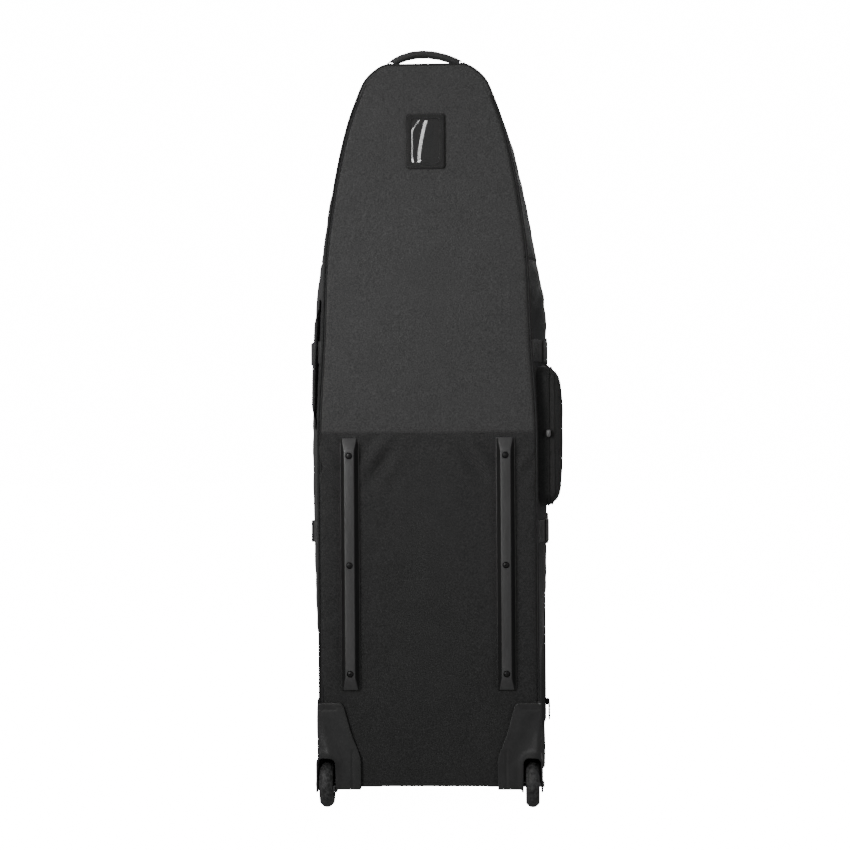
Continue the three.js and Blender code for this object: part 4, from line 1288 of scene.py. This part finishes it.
# ---------------------------------------------------------------- handles
def squared(width, height, count=24, power=3.0):
    """A section between an ellipse and a rectangle."""
    turns = np.arange(count) * 2 * math.pi / count
    across = np.sign(np.cos(turns)) * np.abs(np.cos(turns)) ** (2 / power)
    up = np.sign(np.sin(turns)) * np.abs(np.sin(turns)) ** (2 / power)
    return np.stack([width / 2 * across, height / 2 * up], -1)


def grip(name, path, width, thick, swelling, out, body):
    """A padded webbing grip along a path, `width` by `thick`, with its CAD node of the same name."""
    return swept(
        f"{name}_pad", path, squared(1, 1, 28, 3.2), out, grip_webbing, body,
        scale=np.stack([width, thick * swelling], -1), replaces=[name], slot="webbing", sharp=60,
    )


def top_handle():
    y = centre("top_handle")[1]
    axis, rise, span = 1296.0, 21.0, 69.0
    t = np.concatenate([[-1.0, -0.995, -0.98], np.linspace(-0.95, 0.95, 49), [0.98, 0.995, 1.0]])
    path = np.stack([span * t - 6.5 * (1 - t**2), np.full_like(t, y), axis + rise * (1 - t**2)], -1)
    width = 9 + 17 * (1 - t**2) ** 0.8
    thick = 12 * (1 - 0.2 * np.abs(t) ** 6)
    ends = 1 - 0.3 * smooth(np.abs(t), 0.975, 1)
    swelling = 1 + 0.035 * np.cos(t * 22) * (np.abs(t) < 0.62)
    thing = grip("top_handle", path, width * ends, thick * ends, swelling, (0, 0, 1), "top_handle_arch")
    slots = []
    for side, _ in SIDES:
        inner, outer = sorted((side * (span - 10.5), side * (span - 3.5)))
        slots.append(block((inner, y - 20, axis - 12), (outer, y + 20, axis + 8.5)))
    carve(thing, slots)
    for side, name in SIDES:
        pin = [(0.6, side * 57.5), (3.9, side * 57.5), (3.9, side * 70), (0.6, side * 70)]
        lathe(
            f"top_handle_pin_{name}", pin, (0, y, axis), rivet_metal, "top_handle_arch", 32,
            slot="rivet",
        )
    inner = np.abs(t) < 0.86
    _, up = frames(path, (0, 0, 1))
    rows = []
    for edge in (-0.36, 0.36):
        line = path + up * (thick / 2 * 0.93)[:, None] + np.stack([0 * t, edge * width, 0 * t], -1)
        rows.append(line[inner])
    stitches("top_handle_stitches", rows, [up[inner]] * 2, "top_handle_arch")
    for side, name in SIDES:
        handle_loop(side, name, y, axis)


def handle_loop(side, name, y, axis):
    """The webbing loop that a handle pin turns in, and the patch it is sewn to."""
    x = centre(f"top_handle_loop_{name}")[0]
    turns = np.radians(np.linspace(-28, 208, 25))
    around = np.stack([np.full(25, x), y + 5.6 * np.cos(turns), axis + 5.6 * np.sin(turns)], -1)
    foot = [(x, y + out, TOP + up) for out, up in ((6, 2.8), (8, 1.7), (13, 1.5), (17, 1.4))]
    other = [(x, 2 * y - p[1], p[2]) for p in foot]
    path = settled_path(np.array([*foot[::-1], *around, *other]), 2)
    swept(
        f"top_handle_tab_{name}", path, rounded(5.8, 1.8, 0.8, 3), path - (x, y, axis - 3), webbing, "bag",
        replaces=[f"top_handle_loop_{name}"], slot="webbing",
    )
    middle = (x - side * 2, y)
    patch = rounded(20, 42, 4)
    levels = ((0.1, 0), (0.7, 0), (1.1, 0.7), (1.2, 1.8))
    rings = [facing_z(patch * (1 - inset / 12) + middle, TOP + up) for up, inset in levels]
    ringed(f"top_handle_patch_{name}", rings, webbing, "bag", slot="webbing")


def side_handle():
    low, high = drawn("side_handle")
    bottom, top = low[2], high[2]
    y, off, bow = 37.0, 5.0, 1.2

    def lies_at(z, out, bow=0.0):
        v = (y - back_y(z)) / (zip_y(z) - back_y(z))
        place = gusset(z, v, out, -1)
        place[..., 0] -= bow * np.sin(np.pi * np.clip((z - bottom) / (top - bottom), 0, 1)) ** 2
        place[..., 1] = y
        return place

    t = np.concatenate([[0, 0.004, 0.015], np.linspace(0.03, 0.97, 41), [0.985, 0.996, 1]])
    path = lies_at(bottom + (top - bottom) * t, off, bow)
    from_end = np.minimum(t, 1 - t)
    ends = smooth(from_end, -0.01, 0.1)
    thick, width = 3.0 + 4.4 * ends, 22 + 5 * ends
    tip = 1 - 0.4 * (1 - smooth(from_end, 0, 0.016))
    ribs = 1 + 0.03 * np.cos((t - 0.5) * 60) * (np.abs(t - 0.5) < 0.32)
    thing = grip("side_handle", path, width * tip, thick * tip, ribs, (-1, 0, 0), "side_handle_grip")
    inner = (t > 0.05) & (t < 0.95)
    rows = [(path + np.stack([-thick / 2 * 0.92, edge * width, 0 * t], -1))[inner] for edge in (-0.36, 0.36)]
    stitches("side_handle_stitches", rows, [(-1, 0, 0)] * 2, "side_handle_grip")
    for name, at, way in (("lower", bottom, -1), ("upper", top, 1)):
        z = np.linspace(at - way * 6, at + way * 26, 15)
        ease = smooth((z - at) * way, -2, 12)
        line = lies_at(z, off * (1 - ease) + 1.6 * ease)
        tab = swept(
            f"side_handle_tab_{name}", line, rounded(22, 1.6, 0.7, 3), (-1, 0, 0), webbing, None,
            slot="webbing",
        )
        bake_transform(tab)
        near, far = lies_at(np.array([at + way * 13, at + way * 24]), 2.6)
        a, b, c, d = near - (0, 8, 0), near + (0, 8, 0), far + (0, 8, 0), far - (0, 8, 0)
        stitches(f"side_handle_stitches_{name}", [[a, b, c, d, a, c], [b, d]], [(-1, 0, 0)] * 2, "bag")


# ---------------------------------------------------------------- side straps and buckles
STRAP_WIDTH = 38


def strap_ribbon(name, path, width, out, body, **rest):
    """Webbing 1.8 mm thick with soft edges."""
    return swept(name, path, rounded(width, 1.8, 0.8, 3), out, webbing, body, slot="webbing", **rest)


def side_strap(side, name, level):
    z = centre(f"strap_{name}_{level}")[2]
    out = (side, 0, 0)
    v = np.linspace(0.03, 0.86, 34)
    lies = gusset(z, v, 1.6 + gusset_out(np.full_like(v, z), v, side) * 0.5, side)
    lies[:, 2] += 0.8 * np.sin(v * 7)
    anchor = lies[0] + (0, -1.5, 0)
    socket = np.array((side * 206.4, 150, z))
    into_socket = [socket - (side * 0.4, 4, 0), socket + (0, 2, 0)]
    path = settled_path(np.concatenate([[anchor], lies, into_socket]), 4)
    node = f"strap_{name}_{level}"
    strap_ribbon(f"{node}_webbing", path, STRAP_WIDTH, out, "bag", replaces=[node])
    free = settled_path(lies[12:26] + (side * 2.1, 0, 0), 4)
    free[:, 0] += side * 0.8 * np.sin(np.linspace(0, math.pi, len(free)))
    strap_ribbon(f"{node}_tail", free, STRAP_WIDTH, out, "bag")
    a, b, c, d = (lies[i] + (side, 0, up) for i, up in ((2, -13), (2, 13), (7, 13), (7, -13)))
    stitches(f"{node}_stitches", [[a, b, c, d, a, c, d, b]], [out], "bag")


# A side-release buckle along y: the socket's back, where socket and plug meet, and the plug's front.
BUCKLE_BACK, BUCKLE_SPLIT, BUCKLE_FRONT = 150, 186, 212


def mirrored(outline, z, way=1):
    """A buckle outline drawn about height 0, moved to height z, upside down if way is -1."""
    outline = np.array(outline, float)
    outline[:, 1] = z + way * outline[:, 1]
    return outline


def buckle_socket(side, name, z):
    back, split = BUCKLE_BACK, BUCKLE_SPLIT
    half = [(back + 3, 27.5), (172, 28), (split - 1, 25.5)]
    shell = [(back, -22), *((y, -h) for y, h in half), *half[::-1], (back, 22)]
    shell = mirrored(rounded_corners(shell, 5, 4), z)
    socket = plate(f"buckle_{name}_socket", shell, side * 204.2, side * 211, facing_x, 1.8)
    window = rounded_corners([(160, 17), (178, 15), (178, 40), (160, 40)], 4, 4)
    holes = [mirrored(window, z, way) for way in (1, -1)] + [rounded(4.6, 41, 1.6, 4, (155, z))]
    cuts = [[facing_x(hole, side * 190), facing_x(hole, side * 220)] for hole in holes]
    mouth = rounded(3.6, 2 * (split - 152), 1.2, 3, (207.6, split))
    mouth[:, 1] = np.maximum(mouth[:, 1], 161)
    cuts.append([facing_z(mouth * (side, 1), z + up) for up in (-21.5, 21.5)])
    carve(socket, [ringed("cutter", rings, moulded, None) for rings in cuts])
    placed(socket, "bag")


def buckle_plug(side, name, z):
    split, front = BUCKLE_SPLIT, BUCKLE_FRONT
    half = [(split + 0.3, 24.5), (front - 7, 23.5), (front, 20)]
    body = rounded_corners([*((y, -h) for y, h in half), *half[::-1]], 4, 4)
    arm = rounded_corners([
        (split + 2, 14), (176, 15), (163, 18.5), (162, 21),
        (164, 25.5), (172, 25.2), (180, 22), (split + 2, 20),
    ], 3, 4)
    tongue = rounded_corners([(split + 2, -3.2), (170, -3.2), (170, 3.2), (split + 2, 3.2)], 2, 3)
    parts = []
    for outline, way, near, far, bevel in (
        (body, 1, 204.6, 210.8, 1.6), (arm, 1, 206.2, 209, 0.6), (arm, -1, 206.2, 209, 0.6),
        (tongue, 1, 206.4, 208.8, 0.5),
    ):
        parts.append(plate("prong", mirrored(outline, z, way), side * near, side * far, facing_x, bevel))
    made = joined(f"buckle_{name}_plug", parts)
    window = rounded(4.4, 39.5, 1.6, 4, (front - 7.4, z))
    rings = [facing_x(window, side * 190), facing_x(window, side * 220)]
    carve(made, [ringed("cutter", rings, moulded, None)])
    placed(made, "lid", [f"strap_plug_{name}"])


def lid_strap(side, name, z):
    """The strap end that the plug holds, sewn to the lid."""
    front = BUCKLE_FRONT
    lies = lid(z, np.linspace(0.34, 0.62, 12), 1.4) * (side, 1, 1)
    over_plug = ((205.2, -11), (207.6, -7.4), (207.6, -3), (206, 6))
    start = [(side * x, front + ahead, z) for x, ahead in over_plug]
    path = settled_path(np.concatenate([start, lies[lies[:, 1] > front + 10]]), 4)
    strap_ribbon(f"strap_{name}_lid_webbing", path, STRAP_WIDTH, (side, 0.15, 0), "lid")


def straps():
    for side, name in SIDES:
        for level in ("lower", "upper"):
            side_strap(side, name, level)
            z = centre(f"strap_{name}_{level}")[2]
            for part in (buckle_socket, buckle_plug, lid_strap):
                part(side, f"{name}_{level}", z)


def inner_strap():
    low, high = drawn("inner_strap")
    z, y = (low[2] + high[2]) / 2, low[1]
    reach = (high[0] - low[0]) / 2
    x = np.linspace(-reach + 1, reach - 1, 41)
    lie = y + 1.2 + 2.4 * np.exp(-((x / 34) ** 2)) + 0.5 * np.sin(x / 17)
    path = np.stack([x, lie, z + 1.2 * np.sin(x / 45)], -1)
    strap_ribbon("inner_strap_webbing", path, 37, (0, 1, 0), "bag", replaces=["inner_strap"])
    corners = [(-132, -12), (-132, 12), (-108, 12), (-108, -12), (-132, -12), (-108, 12)]
    box = facing_y(corners, 0)
    for side, name in SIDES[::-1]:
        line = box * (side, 1, 1) + (0, y + 2.6, z)
        stitches(f"inner_strap_stitches_{name}", [line], [(0, 1, 0)], "bag")
    outline = rounded(60, 48, 9, 5, (0, z))
    clasp = plate("inner_strap_buckle", outline, y + 4.6, min(y + 9.2, high[1]), facing_y, 1.6)
    placed(clasp, "bag")
    windows = [rounded(6, 38, 2, 4, (x, z)) for x in (-22, 22)]
    cuts = [[facing_y(window, y - 10), facing_y(window, y + 30)] for window in windows]
    carve(clasp, [ringed("cutter", rings, moulded, None) for rings in cuts])


# ---------------------------------------------------------------- pockets
def rim_grid(width, height, radius, rows, columns):
    """A grid that fills a rounded rectangle: its two places, and 1 on the rim to 0 at the middle."""
    u, w = np.meshgrid(crowded(columns, 0.35), crowded(rows, 0.35))
    reach = np.maximum(np.abs(u), np.abs(w))
    a, b = u * width / 2, w * height / 2
    corner_a, corner_b = width / 2 - radius, height / 2 - radius
    # Rays from the middle that meet a corner's arc are shortened to end on it.
    p, q = np.abs(a) / np.maximum(reach, 1e-6), np.abs(b) / np.maximum(reach, 1e-6)
    square = p**2 + q**2
    linear = -2 * (p * corner_a + q * corner_b)
    constant = corner_a**2 + corner_b**2 - radius**2
    root = (-linear + np.sqrt(np.maximum(linear**2 - 4 * square * constant, 0))) / (2 * square)
    shrink = np.where((p > corner_a) & (q > corner_b), root, 1)
    return a * shrink, b * shrink, reach


def puffed(thing, rim, cap):
    """Cloth simulation of a padded panel: pinned at its rim, blown out a little and left with folds."""
    still = np.array([v.co for v in thing.data.vertices])
    group = thing.vertex_groups.new(name="rim")
    for i, held in enumerate(rim):
        group.add([i], float(held), "REPLACE")
    frames_run = 20
    modifier = modify(thing, "CLOTH")
    for key, value in {
        "quality": 6, "mass": 0.3, "tension_stiffness": 12, "compression_stiffness": 12,
        "shear_stiffness": 4, "bending_stiffness": 0.6, "vertex_group_mass": "rim",
        "use_pressure": True, "uniform_pressure_force": 4.0, "shrink_min": -0.03,
    }.items():
        setattr(modifier.settings, key, value)
    modifier.settings.effector_weights.gravity = 0
    modifier.point_cache.frame_start = 1
    modifier.point_cache.frame_end = frames_run
    for step in range(1, frames_run + 1):
        bpy.context.scene.frame_set(step)
    settled(thing)
    bpy.context.scene.frame_set(1)
    moved = np.array([v.co for v in thing.data.vertices]) - still
    length = np.linalg.norm(moved, axis=1, keepdims=True)
    move_points(thing, still + moved * np.minimum(1, cap / 1000 / np.maximum(length, 1e-9)))


class Pocket:
    """A pocket: a flap, a wall that stands on the panel behind it, and the zip between them.

    axis is the drawn axis that it stands out along, and rim how far out its zip lies."""

    def __init__(self, name, axis, middle, size, corner, rim, cloth, slot, wall_body, flap_body):
        self.name, self.axis, self.middle, self.size, self.rim = name, axis, middle, size, rim
        self.cloth, self.slot, self.wall_body, self.flap_body = cloth, slot, wall_body, flap_body
        self.out = np.eye(3)[axis]
        self.face = (facing_x, facing_y)[axis]
        self.outline = rounded(*size, corner, 9)

    def around(self, inset, depth=0):
        """The pocket's outline drawn in by `inset`, at a depth along its axis."""
        half = np.abs(self.outline).max(axis=0)
        return self.face(self.outline * (1 - inset / half) + self.middle, depth)

    def front(self, points, reach):
        """The padded flap from its grid of points, simulated and then given its thickness."""
        thing = piece(
            f"{self.name}_front", points, quads(*reach.shape), self.cloth, None, inside=lining, sharp=60
        )
        puffed(thing, np.clip((reach.ravel() - 0.86) / 0.06, 0, 1), cap=3.2)
        placed(thing, self.flap_body, [f"{self.name}_flap"])
        thicken(thing, 3.0)

    def trim(self, cord, cord_radius, sewn):
        """Piping round the flap and a row of stitches inside it."""
        swept(
            f"{self.name}_piping", cord, circle(cord_radius, 8), self.out, piping, self.flap_body,
            closed=True, slot="piping",
        )
        stitches(f"{self.name}_stitches", [looped(sewn)], [self.out], self.flap_body)

    def wall(self, base_at):
        """The wall from the panel behind, whose depth at each place base_at gives, with its zip tape."""
        outside = [(0.5, 0), (0.2, 0.25), (0.0, 0.7), (0.6, 1.0)]
        inside = [(3.4, 1.0), (3.4, 0.7), (3.4, 0.0)]
        rings = []
        for inset, share in outside + inside:
            ring = self.around(inset)
            base = base_at(*ring.T)
            ring[:, self.axis] = base + (self.rim - 1.2 - base) * share
            rings.append(ring)
        ringed(
            f"{self.name}_band", rings, self.cloth, self.wall_body,
            closed=True, replaces=[f"{self.name}_wall"], slot=self.slot,
        )
        swept(
            f"{self.name}_zip_tape", self.around(-0.1, self.rim - 0.3), rounded(2.2, 2.4, 0.6, 2), self.out,
            zip_tape, self.wall_body, closed=True, slot="zip_tape",
        )


def side_pocket():
    low, high = drawn("side_pocket_flap")
    y0, z0 = (low[1] + high[1]) / 2, (low[2] + high[2]) / 2
    width, height, rim = high[1] - low[1], high[2] - low[2], low[0]
    pocket = Pocket(
        "side_pocket", 0, (y0, z0), (width, height), 24, rim,
        side_cloth, "side_cloth", "bag", "side_flap",
    )
    a, b, reach = rim_grid(width - 1, height - 1, 23.5, 61, 37)
    face = profile([
        (-122, 220), (-112, 226), (-95, 230), (-50, 233), (40, 233.3), (95, 230), (112, 225), (122, 217),
    ])
    edge = 1 - reach
    dome = np.clip(smooth(edge, 0, 0.13), 0, 1) ** 0.55
    lift = (face(b) - rim - 0.6) * (0.42 + 0.58 * dome)
    lift = np.where(reach > 0.999, 0.6, lift)
    places = np.stack([a, b, a * 0], -1)
    folds = 1.0 * rough(places, 55, 4.4) + 0.5 * rough(places, 24, 1.9) - 0.6
    lift = lift + dome * folds * smooth(edge, 0.02, 0.2)
    pocket.front(np.stack([rim + lift, y0 + a, z0 + b], -1), reach)

    cord, sewn = pocket.around(2.0), pocket.around(9.5)
    cord[:, 0] = face(cord[:, 2] - z0) * 0.42 + (rim + 0.6) * 0.58 + 1.2
    sewn[:, 0] = face(sewn[:, 2] - z0) - 1.4
    pocket.trim(cord, 1.2, sewn)

    def on_gusset(_, y, z):
        v = np.clip((y - back_y(z)) / (zip_y(z) - back_y(z)), 0.02, 0.98)
        return gusset(z, v)[:, 0] - 1.5

    pocket.wall(on_gusset)
    path = pocket.around(-1.0, rim - 0.1)
    path = path[path[:, 2] > z0 - 95]
    start = np.argmin(np.where(path[:, 1] > y0, path[:, 2], 1e9))
    teeth("side_pocket_teeth", settled_path(np.roll(path, -start, axis=0), 2), (-1, 0, 0), "bag")
    zip_slider("side_pocket_zip_slider", "side_pocket_slider", (0, -1, 0), "side_slider", zip_metal, 0.9)


def zip_slider(name, node, out, body, metal, size=1.0):
    """A zip slider's body with its pull bar. It lies on a zip that runs up and looks `out`."""
    low, high = drawn(node)
    middle = (low + high) / 2
    out, along = np.array(out, float), np.array((0, 0, 1.0))
    across = np.cross(along, out)
    depth, long, wide = (abs((high - low) @ way) for way in (out, along, across))
    rings = []
    for share, inset in ((0, 0.8), (0.25, 0.15), (0.42, 0), (0.5, 0.9), (0.58, 0), (0.75, 0.15), (0.84, 0.8)):
        tail, tip = long / 2 - inset, inset - long / 2
        half = [(tail, wide * 0.42), (-long * 0.1, wide / 2 - inset), (tip, wide * 0.3)]
        shape = rounded_corners([*((a, -b) for a, b in half[::-1]), *half], 2.4 * size, 4)
        base = middle - out * depth / 2 + out * depth * share * 0.98
        rings.append(base + shape[:, :1] * along + shape[:, 1:] * across)
    shell = ringed("shell", rings, metal, None, sharp=50)
    turn = np.linspace(0, math.pi, 13)[:, None]
    bow = middle - along * long * 0.3 * np.cos(turn) + out * depth * (0.30 + 0.14 * np.sin(turn))
    bridge = swept("bridge", bow, rounded(wide * 0.3, depth * 0.11, depth * 0.05, 2), out, metal, None)
    placed(joined(name, [shell, bridge]), body, [node])


def zip_pulls():
    for side, name in SIDES:
        slider = f"zip_slider_{name}"
        zip_slider(f"{slider}_body", f"main_zip_slider_{name}", (side, 0, 0), slider, black_metal)
        low, high = drawn(f"main_zip_pull_{name}")
        x, y, _ = (low + high) / 2
        thick, width, long = high - low
        rings = []
        for down in np.linspace(0, 1, 27):
            rib = 0.35 * math.cos(down * 40) if 0.3 < down < 0.9 else 0
            near, tip = smooth(down, 0, 0.2), smooth(down, 0.93, 1)
            half_w = (width / 2 - 0.2) * (0.72 + 0.28 * near) * (1 - 0.35 * tip)
            half_t = (thick / 2 - 0.4 + rib) * (0.75 + 0.25 * near) * (1 - 0.4 * tip)
            rings.append(facing_z(squared(2 * half_t, 2 * half_w, 20, 4) + (x, y), high[2] - long * down))
        ringed(
            f"zip_pull_{name}_grip", rings, rubber, f"zip_pull_{name}",
            replaces=[f"main_zip_pull_{name}"], slot="rubber", sharp=50,
        )


def front_pocket():
    low, high = drawn("front_pocket_flap")
    x0, z0 = (low[0] + high[0]) / 2, (low[2] + high[2]) / 2
    width, height, rim, face_y = high[0] - low[0], high[2] - low[2], low[1], high[1]
    pocket = Pocket(
        "front_pocket", 1, (x0, z0), (width, height), 30, rim,
        heavy_cloth, "heavy_cloth", "lid", "front_flap",
    )
    a, b, reach = rim_grid(width - 1, height - 1, 29, 71, 49)
    edge, depth = 1 - reach, face_y - 3.6 - rim
    lift = depth * (0.4 + 0.6 * smooth(edge, 0, 0.15) ** 0.55)
    lift = np.where(reach > 0.999, 0.6, lift)
    places = np.stack([a, b, a * 0 + 50], -1)
    sag = 1.6 * np.exp(-(((b + 120) / 70) ** 2))
    folds = 0.9 * rough(places, 80, 9.4) + 0.5 * rough(places, 30, 2.9) + sag - 0.9
    lift = lift + smooth(edge, 0.02, 0.2) * folds
    pocket.front(np.stack([x0 - a, rim + lift, z0 + b], -1), reach)
    pocket.trim(pocket.around(2, rim + 0.4 * depth + 1), 1.7, pocket.around(12, face_y - 4.6))
    pocket.wall(lambda x, y, z: lid_y(x, z) - 2)
    path = pocket.around(-1.0, rim - 0.1)
    start = np.argmin(np.where(path[:, 0] > x0, path[:, 2], 1e9))
    path = np.roll(path, -start, axis=0)
    teeth("front_pocket_teeth", settled_path(path[path[:, 2] > z0 - 165], 2), (0, 1, 0), "lid")


def boards():
    """The two boards inside keep their CAD shape, which is what a cut sheet looks like."""
    for thing in bpy.data.objects:
        if thing.name in ("back_board", "base_board"):
            thing.data.materials.clear()
            thing.data.materials.append(board)


# ---------------------------------------------------------------- the scene
studio()
back_panels()
gussets()
crown()
front()
base()
piping_and_zip()
rails()
for side, name in SIDES:
    housing(side, name)
    wheel(side, name)
feet()
id_holder()
top_handle()
side_handle()
straps()
inner_strap()
side_pocket()
front_pocket()
zip_pulls()
boards()
